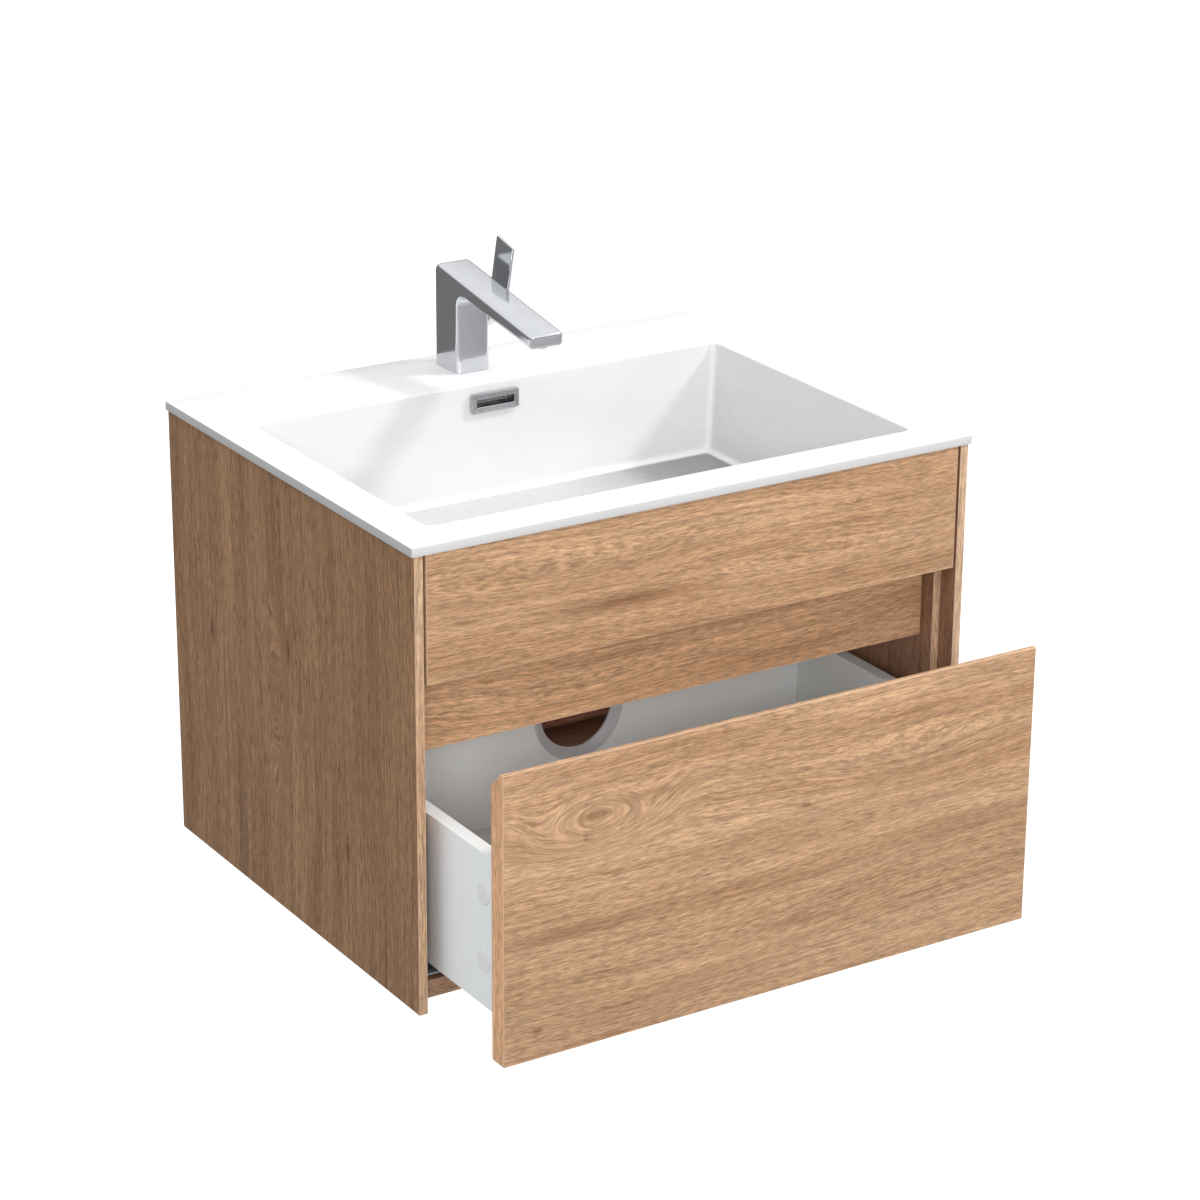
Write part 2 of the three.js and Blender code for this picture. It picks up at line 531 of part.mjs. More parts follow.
/** The ceramic-disc cartridge, its nut and the collar that covers them. */
function cartridge(group) {
  const half = TAP.width / 2;
  const { x, boreR, boreX, nutBore } = CARTRIDGE;
  const { y, z, cartridgeR, collarR, collarBore, outX } = HUB;
  const shell = cut(
    turnedAlongX(rod(cartridgeR, x), y, z),
    turnedAlongX(rod(boreR, [boreX, x[1] + 1]), y, z, 20),
  );
  part(group, 'cartridge', shell, FINISH.whitePlastic);
  const nut = turnedAlongX(tube(cartridgeR, nutBore, [x[1] + GAP, half - TOUCH]), y, z);
  part(group, 'cartridge_nut', nut, FINISH.brass);
  const collar = turnedAlongX([
    [collarBore, half + GAP], [collarR, half + GAP], [collarR, outX - 1],
    [collarR - 1, outX], [collarBore, outX], [collarBore, half + GAP],
  ], y, z);
  part(group, 'cartridge_collar', collar, FINISH.chrome);
}

/** The spindle, which turns in the cartridge. */
function spindle(group) {
  const { radius, innerX, short } = SPINDLE;
  const rodShape = turnedAlongX(rod(radius, [innerX, HUB.pivotX - short - GAP]), 0, 0, 20);
  part(group, 'cartridge_spindle', rodShape, FINISH.zincSteel);
}

/** The flat upright handle on its ball-ended neck, with the grub screw that locks it. */
function lever(group) {
  const { halfWidth, low, high } = LEVER;
  const { x, lowRound, highRound, edge, ballR, neckR } = LEVER_PLATE;
  const shape = outline([
    [-halfWidth, low, lowRound], [halfWidth, low, lowRound],
    [halfWidth, high, highRound], [-halfWidth, high, highRound],
  ]);
  const ball = new THREE.SphereGeometry(ballR, 20, 14).rotateZ(-Math.PI / 2).translate(HUB.pivotX, 0, 0);
  const neck = turnedAlongX(rod(neckR, [HUB.pivotX, x[0] + 1]), 0, 0, 20);
  const screwX = (HUB.outX + x[0]) / 2;
  const screwHole = turned(rod(GRUB_SCREW.holeR, GRUB_SCREW.holeZ), screwX, 0, 16);
  part(group, 'lever_handle', cut(join(alongX(shape, x, { edge }), ball, neck), screwHole), FINISH.chrome);
  const screw = turned(rod(GRUB_SCREW.radius, GRUB_SCREW.z), screwX, 0, 16);
  part(group, 'lever_grub_screw', screw, FINISH.zincSteel);
}

// ---------------------------------------------------------------------------------------
// Drawer and its undermount slides.

/** The front board, planed back at the top of its inner face as a finger grip. */
function drawerFront(group) {
  const { bottom, top, gripFlat, gripDrop } = DRAWER_FRONT;
  const profile = outline([
    [-SIDE.depth, bottom], [FRONT_BACK_Y, bottom], [FRONT_BACK_Y, top - gripDrop],
    [-SIDE.depth + gripFlat, top], [-SIDE.depth, top],
  ]);
  part(group, 'drawer_front', alongX(profile, [-FRONT.halfWidth, FRONT.halfWidth]), FINISH.oakFront);
}

function drawerBox(group) {
  const { outerX, side: thickness, bottom, top, backY, back } = DRAWER_BOX;
  const frontY = FRONT_BACK_Y + GAP;
  const inside = outerX - thickness - GAP;
  const floorTop = DRAWER_FLOOR.bottom + DRAWER_FLOOR.thickness;
  for (const [name, side] of Object.entries(SIDES)) {
    part(group, `drawer_side_${name}`,
      box(onSide(side, [outerX - thickness, outerX]), [frontY, backY], [bottom, top]), FINISH.whiteBoard);
  }
  part(group, 'drawer_floor',
    box([-inside, inside], [frontY, backY], [DRAWER_FLOOR.bottom, floorTop]), FINISH.whiteBoard);

  const radius = NOTCH.outerR + GAP;
  const backShape = new THREE.Shape();
  backShape.moveTo(-inside, floorTop + GAP);
  backShape.lineTo(inside, floorTop + GAP);
  backShape.lineTo(inside, top);
  backShape.lineTo(radius, top);
  backShape.lineTo(radius, NOTCH.centreZ);
  backShape.absarc(0, NOTCH.centreZ, radius, 0, Math.PI, true);
  backShape.lineTo(-radius, top);
  backShape.lineTo(-inside, top);
  backShape.closePath();
  const board = alongY(backShape, [backY - back, backY], { curveSegments: 24 });
  part(group, 'drawer_back', board, FINISH.whiteBoard);
}

/** The U-shaped liner of the pipe cut-out: it slopes in from the front face to a thin lip. */
function notchTrim(group) {
  const { centreZ, outerR, innerR, backR, lipDepth, land } = NOTCH;
  const { top, backY, back } = DRAWER_BOX;
  const frontY = backY - back;
  const section = [
    [outerR, 0], [outerR - land, 0], [innerR, lipDepth], [innerR, lipDepth + land],
    [backR, back], [outerR, back],
  ];
  const loop = [...section, section[0]].map(([radius, depth]) => new THREE.Vector2(radius, depth));
  const ring = new THREE.LatheGeometry(loop, 48).translate(0, frontY, centreZ);
  const reach = 2 * outerR;
  const above = box([-reach, reach], [frontY - 1, backY + 1], [centreZ, centreZ + reach]);
  const legs = [-1, 1].map((side) => {
    return alongZ(outline(section.map(([r, d]) => [side * r, frontY + d])), [centreZ, top]);
  });
  part(group, 'notch_trim', join(cut(ring, above), ...legs), FINISH.whitePlastic);
}

/** Round covers over the screws that hold the front to the sides. */
function screwCaps(group) {
  const { radius, thickness, bevel, y, heights } = CAP;
  const face = DRAWER_BOX.outerX + TOUCH;
  for (const [name, side] of Object.entries(SIDES)) {
    const [near, edge, far] = [face, face + thickness - bevel, face + thickness].map((x) => side * x);
    const profile = [[0, near], [radius, near], [radius, edge], [radius - bevel, far], [0, far]];
    if (side < 0) profile.reverse();
    for (const [level, z] of Object.entries(heights)) {
      part(group, `screw_cap_${name}_${level}`, turnedAlongX(profile, y, z, 28), FINISH.whitePlastic);
    }
  }
}

/** The fixed rail: an angle on the cheek whose lower leg carries a shallow channel. */
function cabinetRails(group) {
  const { high, ribHigh, outerRib, innerRib } = FIXED_RAIL;
  const { bottom, steel, frontY, length } = SLIDE;
  const outerX = CHEEK_X - GAP;
  const floor = bottom + steel;
  for (const [name, side] of Object.entries(SIDES)) {
    const shape = outline(mirrored(side, [
      [innerRib[0], bottom], [outerX, bottom], [outerX, high], [outerX - steel, high],
      [outerX - steel, floor], [outerRib[1], floor], [outerRib[1], ribHigh], [outerRib[0], ribHigh],
      [outerRib[0], floor], [innerRib[1], floor], [innerRib[1], ribHigh], [innerRib[0], ribHigh],
    ]));
    part(group, `cabinet_rail_${name}`, alongY(shape, [frontY, frontY + length]), FINISH.zincSteel);
  }
}

/** The intermediate member: an upward channel that runs inside the fixed rail. */
function middleRails(group) {
  const [low, high] = MIDDLE_RAIL.z;
  const [near, far] = MIDDLE_RAIL.x;
  const { steel: t, short } = MIDDLE_RAIL;
  const limits = [SLIDE.frontY + short, SLIDE.frontY + SLIDE.length - short];
  for (const [name, side] of Object.entries(SIDES)) {
    const shape = outline(mirrored(side, [
      [near, low], [far, low], [far, high], [far - t, high],
      [far - t, low + t], [near + t, low + t], [near + t, high], [near, high],
    ]));
    part(group, `middle_rail_${name}`, alongY(shape, limits), FINISH.zincSteel);
  }
}

/** The member under the drawer floor, whose foot runs in the intermediate channel. */
function drawerRails(group) {
  const { plateX, webX, footX, footZ } = DRAWER_RAIL;
  const top = DRAWER_FLOOR.bottom - GAP;
  const plate = top - SLIDE.steel;
  const { front, back } = DRAWER_RAIL_ENDS;
  const limits = [SLIDE.frontY + front, SLIDE.frontY + SLIDE.length - back];
  for (const [name, side] of Object.entries(SIDES)) {
    const shape = outline(mirrored(side, [
      [footX[0], footZ[0]], [footX[1], footZ[0]], [footX[1], footZ[1]], [webX[1], footZ[1]],
      [webX[1], plate], [plateX[1], plate], [plateX[1], top], [plateX[0], top],
      [plateX[0], plate], [webX[0], plate], [webX[0], footZ[1]], [footX[0], footZ[1]],
    ]));
    part(group, `drawer_rail_${name}`, alongY(shape, limits), FINISH.zincSteel);
    const clip = cut(
      box(onSide(side, CLIP.x), CLIP.y, [CLIP.bottom, top]),
      box(onSide(side, CLIP_POCKET.x), CLIP_POCKET.y, CLIP_POCKET.z),
    );
    part(group, `locking_clip_${name}`, clip, FINISH.greyPlastic);
  }
}

// ---------------------------------------------------------------------------------------
// Assembly.

const object = new THREE.Group();
object.position.z = -ORIGIN_Z;

const carcass = new THREE.Group();
sidePanels(carcass);
boards(carcass);
hangingRail(carcass);
hangers(carcass);
fasciaBrackets(carcass);
cabinetRails(carcass);

const basin = new THREE.Group();
basinTop(basin);
overflowTrim(basin);
overflowDuct(basin);
waste(basin);
wasteStopper(basin);

const mixer = new THREE.Group();
mixer.position.z = SLAB.top;
mixerBody(mixer);
mixerFixings(mixer);
cartridge(mixer);

const handle = new THREE.Group();
handle.position.set(0, HUB.y, HUB.z);
handle.rotation.x = LEVER.lean;
spindle(handle);
lever(handle);
mixer.add(handle);

const middle = new THREE.Group();
middle.position.y = -DRAWER_OPEN / 2;
middleRails(middle);

const drawer = new THREE.Group();
drawer.position.y = -DRAWER_OPEN;
drawerFront(drawer);
drawerBox(drawer);
notchTrim(drawer);
screwCaps(drawer);
drawerRails(drawer);

object.add(carcass, basin, mixer, middle, drawer);

export default object;
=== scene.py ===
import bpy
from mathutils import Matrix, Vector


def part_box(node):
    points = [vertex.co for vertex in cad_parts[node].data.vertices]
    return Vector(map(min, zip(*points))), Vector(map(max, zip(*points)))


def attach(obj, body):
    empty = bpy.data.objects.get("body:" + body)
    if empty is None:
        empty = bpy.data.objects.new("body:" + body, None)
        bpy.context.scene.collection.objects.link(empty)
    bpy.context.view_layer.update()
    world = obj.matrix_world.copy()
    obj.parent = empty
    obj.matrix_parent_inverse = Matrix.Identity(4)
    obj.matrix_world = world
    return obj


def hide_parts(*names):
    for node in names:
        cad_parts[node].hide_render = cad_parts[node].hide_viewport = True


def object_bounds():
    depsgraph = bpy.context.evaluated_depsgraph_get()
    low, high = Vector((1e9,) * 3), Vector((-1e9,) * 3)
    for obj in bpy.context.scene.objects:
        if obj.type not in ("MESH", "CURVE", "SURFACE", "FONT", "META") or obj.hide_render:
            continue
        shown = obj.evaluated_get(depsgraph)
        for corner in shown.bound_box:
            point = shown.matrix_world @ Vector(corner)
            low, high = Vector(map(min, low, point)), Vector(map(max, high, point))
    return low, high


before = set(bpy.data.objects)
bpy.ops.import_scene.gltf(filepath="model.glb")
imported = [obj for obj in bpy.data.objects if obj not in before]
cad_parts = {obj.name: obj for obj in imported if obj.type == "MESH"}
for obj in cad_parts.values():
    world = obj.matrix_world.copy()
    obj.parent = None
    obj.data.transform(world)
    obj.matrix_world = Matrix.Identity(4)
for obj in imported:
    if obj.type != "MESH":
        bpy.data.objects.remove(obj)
CAD_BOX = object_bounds()

"""A wall-hung vanity: an oak laminate carcass, a moulded white basin top with its waste and
overflow, a chrome side-lever mixer and one pull-out drawer on undermount slides.

Everything is in metres in the frame of the loaded model: X to the right, the front faces -Y,
the wall is Y = 0 and Z is up. Each surface is worked out with numpy from the model's boxes."""

import logging
import math
from dataclasses import dataclass, field
from enum import Enum

import bpy
import numpy as np

LOG = logging.getLogger("vanity")
MM = 0.001
Colour = tuple[float, float, float]
Point = tuple[float, float, float]


class Axis(Enum):
    """A direction of the model's frame."""

    X = 0
    Y = 1
    Z = 2


class Face(Enum):
    """A side of a board, as the axis it faces along and the way it faces."""

    LEFT = (0, -1)
    RIGHT = (0, 1)
    FRONT = (1, -1)
    BACK = (1, 1)
    BOTTOM = (2, -1)
    TOP = (2, 1)


class Body(Enum):
    """The moving bodies of the vanity."""

    CABINET = "cabinet"
    DRAWER = "drawer"
    MIDDLE = "middle_rails"
    SPINDLE = "spindle"
    LEVER = "lever"
    STOPPER = "stopper"


class Hand(Enum):
    """The left-hand and the right-hand copy of a repeated part."""

    LEFT = -1
    RIGHT = 1

    @property
    def word(self) -> str:
        """The hand as the word used in names."""
        return self.name.lower()


def box_of(node: str) -> tuple[np.ndarray, np.ndarray]:
    """The lowest and the highest corner of a node, as arrays."""
    low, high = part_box(node)
    return np.array(low, dtype=float), np.array(high, dtype=float)


# ------------------------------------------------------------------------------------------
# Surfaces.


@dataclass
class Surface:
    """A closed surface under construction.

    Attributes:
        points: corner places, one row each.
        faces: corner numbers of each face, in order round it.
        flat: one flag a face, true where it is a plane that must not be shaded as curved.
    """

    points: np.ndarray
    faces: list[list[int]]
    flat: np.ndarray

    def volume(self) -> float:
        """Six times the volume inside, as the sum of a . (b x c) over a fan of triangles."""
        total = 0.0
        sizes = np.array([len(face) for face in self.faces])
        for size in np.unique(sizes):
            ring = np.array([face for face in self.faces if len(face) == size])
            corners = self.points[ring]
            for step in range(1, size - 1):
                total += np.einsum(
                    "ij,ij->", corners[:, 0], np.cross(corners[:, step], corners[:, step + 1]))
        return float(total)

    def outward(self) -> "Surface":
        """The same surface with every face turned to look outwards."""
        if self.volume() < 0:
            self.faces = [face[::-1] for face in self.faces]
        return self

    def moved(self, turn: np.ndarray, shift: np.ndarray) -> "Surface":
        """The surface turned by a matrix about the frame's origin and then shifted."""
        return Surface(self.points @ np.asarray(turn).T + shift, self.faces, self.flat)


def welded(points: np.ndarray, faces: list, flat: np.ndarray) -> Surface:
    """Joins corners that lie within a hundredth of a millimetre and drops collapsed faces.

    Args:
        points: corner places, one row each.
        faces: corner numbers of each face.
        flat: one flag a face.

    Returns:
        The closed surface, facing outwards.
    """
    keys = np.round(points / (0.01 * MM)).astype(np.int64)
    _, first, place = np.unique(keys, axis=0, return_index=True, return_inverse=True)
    place = place.reshape(-1)
    kept_faces, kept_flat = [], []
    for face, is_flat in zip(faces, flat):
        ring = [int(place[i]) for i in face]
        ring = [a for a, b in zip(ring, ring[1:] + ring[:1]) if a != b]
        if len(set(ring)) > 2:
            kept_faces.append(ring)
            kept_flat.append(bool(is_flat))
    return Surface(points[first], kept_faces, np.array(kept_flat)).outward()


def grid_faces(rows: int, columns: int, wrap_rows: bool, wrap_columns: bool) -> np.ndarray:
    """The quads of a grid of corners, numbered row by row.

    Args:
        rows: how many rows of corners there are.
        columns: how many corners a row has.
        wrap_rows: whether the last row joins the first.
        wrap_columns: whether the last column joins the first.

    Returns:
        An array of corner numbers, one quad a row.
    """
    row = np.arange(rows if wrap_rows else rows - 1)[:, None]
    column = np.arange(columns if wrap_columns else columns - 1)[None, :]
    next_row, next_column = (row + 1) % rows, (column + 1) % columns
    corners = [row * columns + column, next_row * columns + column,
               next_row * columns + next_column, row * columns + next_column]
    return np.stack(np.broadcast_arrays(*corners), axis=-1).reshape(-1, 4)


def rounded_block(low: np.ndarray, high: np.ndarray, radius: float, steps: int = 3) -> Surface:
    """A block with rounded edges and corners.

    A point p of the sharp block goes to c + r (p - c) / |p - c|, where c is p held within the
    block shrunk by r. Grid lines near an edge stand at r tan(angle), for equal arc steps.

    Args:
        low: the lowest corner.
        high: the highest corner.
        radius: the edge radius.
        steps: arc steps from a face to the middle of an edge.

    Returns:
        The closed surface.
    """
    reach = radius * np.tan(np.linspace(0, math.pi / 4, steps + 1))
    lines = [np.concatenate([low[a] + radius - reach[::-1], high[a] - radius + reach])
             for a in range(3)]
    count = 2 * (steps + 1)
    quads = grid_faces(count, count, False, False)
    places, faces = [], []
    for axis in range(3):
        first, second = (axis + 1) % 3, (axis + 2) % 3
        one, two = np.meshgrid(lines[first], lines[second], indexing="ij")
        for side, level in ((-1, low[axis]), (1, high[axis])):
            points = np.empty((count, count, 3))
            points[..., axis] = level
            points[..., first] = one
            points[..., second] = two
            start = sum(len(p) for p in places)
            places.append(points.reshape(-1, 3))
            faces.append((quads if side > 0 else quads[:, ::-1]) + start)
    sharp = np.concatenate(places)
    core = np.clip(sharp, low + radius, high - radius)
    away = sharp - core
    away /= np.maximum(np.linalg.norm(away, axis=1, keepdims=True), 1e-12)
    quads = np.concatenate(faces)
    normals = away[quads]
    flat = np.abs(normals - normals[:, :1]).max(axis=(1, 2)) < 1e-6
    return welded(core + radius * away, quads.tolist(), flat)


def rounded_outline(corners: list[tuple[float, ...]], steps: int = 6) -> np.ndarray:
    """A closed outline whose corners may be rounded.

    A corner with a radius r becomes an arc that leaves its sides at r / tan(half angle).

    Args:
        corners: (u, v) or (u, v, radius) of each corner, in order.
        steps: arc steps at a rounded corner.

    Returns:
        The outline's points, one row each.
    """
    pieces = []
    for index, corner in enumerate(corners):
        here = np.array(corner[:2])
        radius = corner[2] if len(corner) > 2 else 0.0
        if radius <= 0:
            pieces.append(here[None])
            continue
        back = np.array(corners[index - 1][:2]) - here
        ahead = np.array(corners[(index + 1) % len(corners)][:2]) - here
        back, ahead = back / np.linalg.norm(back), ahead / np.linalg.norm(ahead)
        half = 0.5 * math.acos(float(np.clip(back @ ahead, -1, 1)))
        middle = (back + ahead) / np.linalg.norm(back + ahead)
        centre = here + middle * radius / math.sin(half)
        start, end = here + back * radius / math.tan(half), here + ahead * radius / math.tan(half)
        turn = np.linspace(0, 1, steps + 1)[:, None]
        sweep = math.pi - 2 * half
        arc = (np.sin((1 - turn) * sweep) * (start - centre) + np.sin(turn * sweep)
               * (end - centre))
        pieces.append(centre + arc / math.sin(sweep))
    return np.concatenate(pieces)


def inset(outline: np.ndarray, distance: float) -> np.ndarray:
    """An outline moved inwards along its mitred corner directions.

    Args:
        outline: closed outline, counter-clockwise.
        distance: how far each side moves.

    Returns:
        The moved points.
    """
    side = np.roll(outline, -1, axis=0) - outline
    side /= np.linalg.norm(side, axis=1, keepdims=True)
    inward = np.stack([-side[:, 1], side[:, 0]], axis=1)
    before = np.roll(inward, 1, axis=0)
    mitre = (inward + before) / (1 + np.sum(inward * before, axis=1, keepdims=True))
    return outline + distance * mitre


def counter_clockwise(outline: np.ndarray) -> np.ndarray:
    """The outline in counter-clockwise order, found from its signed area."""
    u, v = outline.T
    area = np.sum(u * np.roll(v, -1) - v * np.roll(u, -1))
    return outline if area > 0 else outline[::-1]


def extruded(outline: np.ndarray, axis: Axis, low: float, high: float, edge: float = 0.0,
             steps: int = 3) -> Surface:
    """A bar of the outline's section with rounded end edges.

    A ring at the angle t of the edge's arc stands r (1 - sin t) inside the outline and
    r (1 - cos t) in from the end. The ends are flat faces.

    Args:
        outline: the section in the two other axes, taken in X, Y, Z order.
        axis: the direction of the bar.
        low: where the bar starts.
        high: where it ends.
        edge: the radius of the end edges.
        steps: arc steps of an end edge.

    Returns:
        The closed surface.
    """
    ring = counter_clockwise(np.asarray(outline, dtype=float))
    angle = np.linspace(0, math.pi / 2, steps + 1) if edge > 0 else np.zeros(1)
    insets = edge * (1 - np.sin(angle)) if edge > 0 else np.zeros(1)
    depths = edge * (1 - np.cos(angle)) if edge > 0 else np.zeros(1)
    insets = np.concatenate([insets, insets[::-1]])
    levels = np.concatenate([low + depths, high - depths[::-1]])
    rings = np.stack([inset(ring, amount) for amount in insets])
    points = np.empty((*rings.shape[:2], 3))
    others = [a for a in range(3) if a != axis.value]
    points[..., others] = rings
    points[..., axis.value] = levels[:, None]
    rows, columns = points.shape[:2]
    quads = grid_faces(rows, columns, False, True).tolist()
    caps = [list(range(columns))[::-1], list(range((rows - 1) * columns, rows * columns))]
    return welded(points.reshape(-1, 3), quads + caps, np.array([False] * len(quads) + [True] * 2))


def soft_bar(corners: list[tuple[float, ...]], axis: Axis, low: float, high: float, edge: float,
             steps: int = 8, arc_steps: int = 12) -> Surface:
    """A bar with end edges rounder than some corners of its section.

    The ring that stands d inside the section has its sides moved in by d, its outer corners'
    radii less d and its inner corners' radii plus d. As in extruded, d is r (1 - sin t) at
    the depth r (1 - cos t). The lowest side stays where it is, so that the bar stands flat.

    Args:
        corners: (u, v, radius) of each corner of the section, counter-clockwise.
        axis: the direction of the bar.
        low: where it starts.
        high: where it ends.
        edge: the radius r of the end edges.
        steps: arc steps of an end edge.
        arc_steps: arc steps of a corner.

    Returns:
        The closed surface.
    """
    sharp = np.array([corner[:2] for corner in corners])
    radii = np.array([corner[2] for corner in corners])
    before, after = sharp - np.roll(sharp, 1, axis=0), np.roll(sharp, -1, axis=0) - sharp
    outer = before[:, 0] * after[:, 1] - before[:, 1] * after[:, 0] > 0
    foot = sharp[:, 1] == sharp[:, 1].min()
    angle = np.linspace(0, math.pi / 2, steps + 1)
    rings = []
    for gap in edge * (1 - np.sin(angle)):
        places = inset(sharp, gap)
        places[foot, 1] = sharp[foot, 1]
        rounds = np.maximum(np.where(outer, radii - gap, radii + gap), 0.15 * MM)
        rings.append(rounded_outline([(*place, round_) for place, round_ in zip(places, rounds)],
                                     arc_steps))
    rings = np.stack(rings + rings[::-1])
    depths = edge * (1 - np.cos(angle))
    levels = np.concatenate([low + depths, high - depths[::-1]])
    points = np.empty((*rings.shape[:2], 3))
    points[..., [a for a in range(3) if a != axis.value]] = rings
    points[..., axis.value] = levels[:, None]
    rows, columns = points.shape[:2]
    quads = grid_faces(rows, columns, False, True).tolist()
    caps = [list(range(columns))[::-1], list(range((rows - 1) * columns, rows * columns))]
    return welded(points.reshape(-1, 3), quads + caps, np.array([False] * len(quads) + [True] * 2))


def turned(profile: np.ndarray, axis: Axis, centre: Point, segments: int = 48) -> Surface:
    """A turned part: the profile's points carried once round an axis.

    Args:
        profile: closed profile, or one that starts and ends on the axis, as (radius, place).
        axis: the direction of the axis.
        centre: a point on it. Its part along the axis is added to the places.
        segments: steps round.

    Returns:
        The closed surface.
    """
    radius, place = np.asarray(profile, dtype=float).T
    angle = np.linspace(0, 2 * math.pi, segments, endpoint=False)
    points = np.empty((len(radius), segments, 3))
    first, second = (axis.value + 1) % 3, (axis.value + 2) % 3
    points[..., axis.value] = place[:, None]
    points[..., first] = radius[:, None] * np.cos(angle)
    points[..., second] = radius[:, None] * np.sin(angle)
    on_axis = radius[0] < 1e-9 and radius[-1] < 1e-9
    quads = grid_faces(len(radius), segments, not on_axis, True)
    return welded(points.reshape(-1, 3) + np.array(centre), quads.tolist(),
                  np.zeros(len(quads), dtype=bool))


def swept(section: np.ndarray, places: np.ndarray, outward: np.ndarray,
          along: np.ndarray) -> Surface:
    """A bar whose section (r, d) stands at place + r outward + d along, with flat ends.

    Args:
        section: closed section, one (r, d) a row.
        places: the path's points.
        outward: the direction of r at each point of the path.
        along: the direction of d, the same all the way.

    Returns:
        The closed surface.
    """
    grid = (places[:, None] + section[None, :, :1] * outward[:, None]
            + section[None, :, 1:] * np.asarray(along))
    rows, columns = grid.shape[:2]
    quads = grid_faces(rows, columns, False, True).tolist()
    caps = [list(range(columns))[::-1], list(range((rows - 1) * columns, rows * columns))]
    return welded(grid.reshape(-1, 3), quads + caps, np.array([False] * len(quads) + [True] * 2))


def together(*parts: Surface) -> Surface:
    """Several closed surfaces as one piece."""
    starts = np.cumsum([0] + [len(part.points) for part in parts])
    faces = [[i + int(start) for i in face]
             for part, start in zip(parts, starts) for face in part.faces]
    return Surface(np.concatenate([part.points for part in parts]), faces,
                   np.concatenate([part.flat for part in parts]))


def rounded_profile(corners: list[tuple[float, ...]], steps: int = 4) -> np.ndarray:
    """A turned profile with rounded corners, in fewer steps than rounded_outline's."""
    return rounded_outline(corners, steps)


def put(name: str, surface: Surface, body: Body, finish: "bpy.types.Material",
        nodes: tuple[str, ...] = (), faces: dict[Face, "bpy.types.Material"] | None = None,
        crease: float = 32.0) -> "bpy.types.Object":
    """Makes a Blender piece of a surface, dresses it and ties it to its body.

    Args:
        name: the piece's name.
        surface: the closed surface.
        body: the body that the piece moves with.
        finish: the finish of the piece.
        nodes: the model's nodes that the piece stands for.
        faces: other finishes for the sides that face along an axis.
        crease: edges sharper than this angle in degrees stay sharp.

    Returns:
        The new object.
    """
    mesh = bpy.data.meshes.new(name)
    mesh.from_pydata(surface.points.tolist(), [], surface.faces)
    mesh.update()
    mesh.polygons.foreach_set("use_smooth", ~np.asarray(surface.flat, dtype=bool))
    mesh.set_sharp_from_angle(angle=math.radians(crease))
    mesh.materials.append(finish)
    if faces:
        normals = np.empty(3 * len(mesh.polygons))
        mesh.polygons.foreach_get("normal", normals)
        normals = normals.reshape(-1, 3)
        lead = np.abs(normals).argmax(axis=1)
        way = np.sign(normals[np.arange(len(lead)), lead])
        slots = np.zeros(len(lead), dtype=np.int32)
        for number, (face, other) in enumerate(faces.items(), start=1):
            mesh.materials.append(other)
            slots[(lead == face.value[0]) & (way == face.value[1])] = number
        mesh.polygons.foreach_set("material_index", slots)
    mesh.validate()
    piece = bpy.data.objects.new(name, mesh)
    bpy.context.scene.collection.objects.link(piece)
    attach(piece, body.value)
    if nodes:
        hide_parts(*nodes)
    LOG.info("%s: %d faces on %s", name, len(surface.faces), body.value)
    return piece


# ------------------------------------------------------------------------------------------
# Shader maths.


class Value:
    """A number or a vector in a shader, which takes part in Python arithmetic."""

    def __init__(self, sheet: "Sheet", socket: "bpy.types.NodeSocket") -> None:
        """Keeps the sheet that the socket belongs to.

        Args:
            sheet: the sheet of nodes.
            socket: the output socket.
        """
        self.sheet = sheet
        self.socket = socket

    def maths(self, operation: str, *values: "Value | float") -> "Value":
        """One Math node on the given values."""
        return self.sheet.node("ShaderNodeMath", {"operation": operation}, dict(enumerate(values)))

    def __add__(self, other: "Value | float") -> "Value":
        """self + other."""
        return self.maths("ADD", self, other)

    def __sub__(self, other: "Value | float") -> "Value":
        """self - other."""
        return self.maths("SUBTRACT", self, other)

    def __rsub__(self, other: "Value | float") -> "Value":
        """other - self."""
        return self.maths("SUBTRACT", other, self)

    def __mul__(self, other: "Value | float") -> "Value":
        """self * other."""
        return self.maths("MULTIPLY", self, other)

    def __truediv__(self, other: "Value | float") -> "Value":
        """self / other."""
        return self.maths("DIVIDE", self, other)

    def __neg__(self) -> "Value":
        """-self."""
        return self.maths("MULTIPLY", self, -1.0)

    def __abs__(self) -> "Value":
        """The size of the number."""
        return self.maths("ABSOLUTE", self)

    __radd__ = __add__
    __rmul__ = __mul__

    def least(self, other: "Value | float") -> "Value":
        """The smaller of the two."""
        return self.maths("MINIMUM", self, other)

    def most(self, other: "Value | float") -> "Value":
        """The larger of the two."""
        return self.maths("MAXIMUM", self, other)

    def root(self) -> "Value":
        """The square root of the number."""
        return self.maths("SQRT", self)

    def exp(self) -> "Value":
        """e to the power of the number."""
        return self.maths("EXPONENT", self)

    def step(self, low: float, high: float) -> "Value":
        """A smooth step from 0 at low to 1 at high."""
        return self.sheet.node(
            "ShaderNodeMapRange", {"interpolation_type": "SMOOTHSTEP", "clamp": True},
            {"Value": self, "From Min": low, "From Max": high})

    def ramp(self, low: float, high: float, first: float, last: float) -> "Value":
        """A straight run from first at low to last at high, held at both ends."""
        return self.sheet.node(
            "ShaderNodeMapRange", {"interpolation_type": "LINEAR", "clamp": True},
            {"Value": self, "From Min": low, "From Max": high, "To Min": first, "To Max": last})

    def parts(self) -> tuple["Value", "Value", "Value"]:
        """The X, Y and Z of a vector."""
        node = self.sheet.tree.nodes.new("ShaderNodeSeparateXYZ")
        self.sheet.feed(node.inputs[0], self)
        return tuple(Value(self.sheet, socket) for socket in node.outputs)


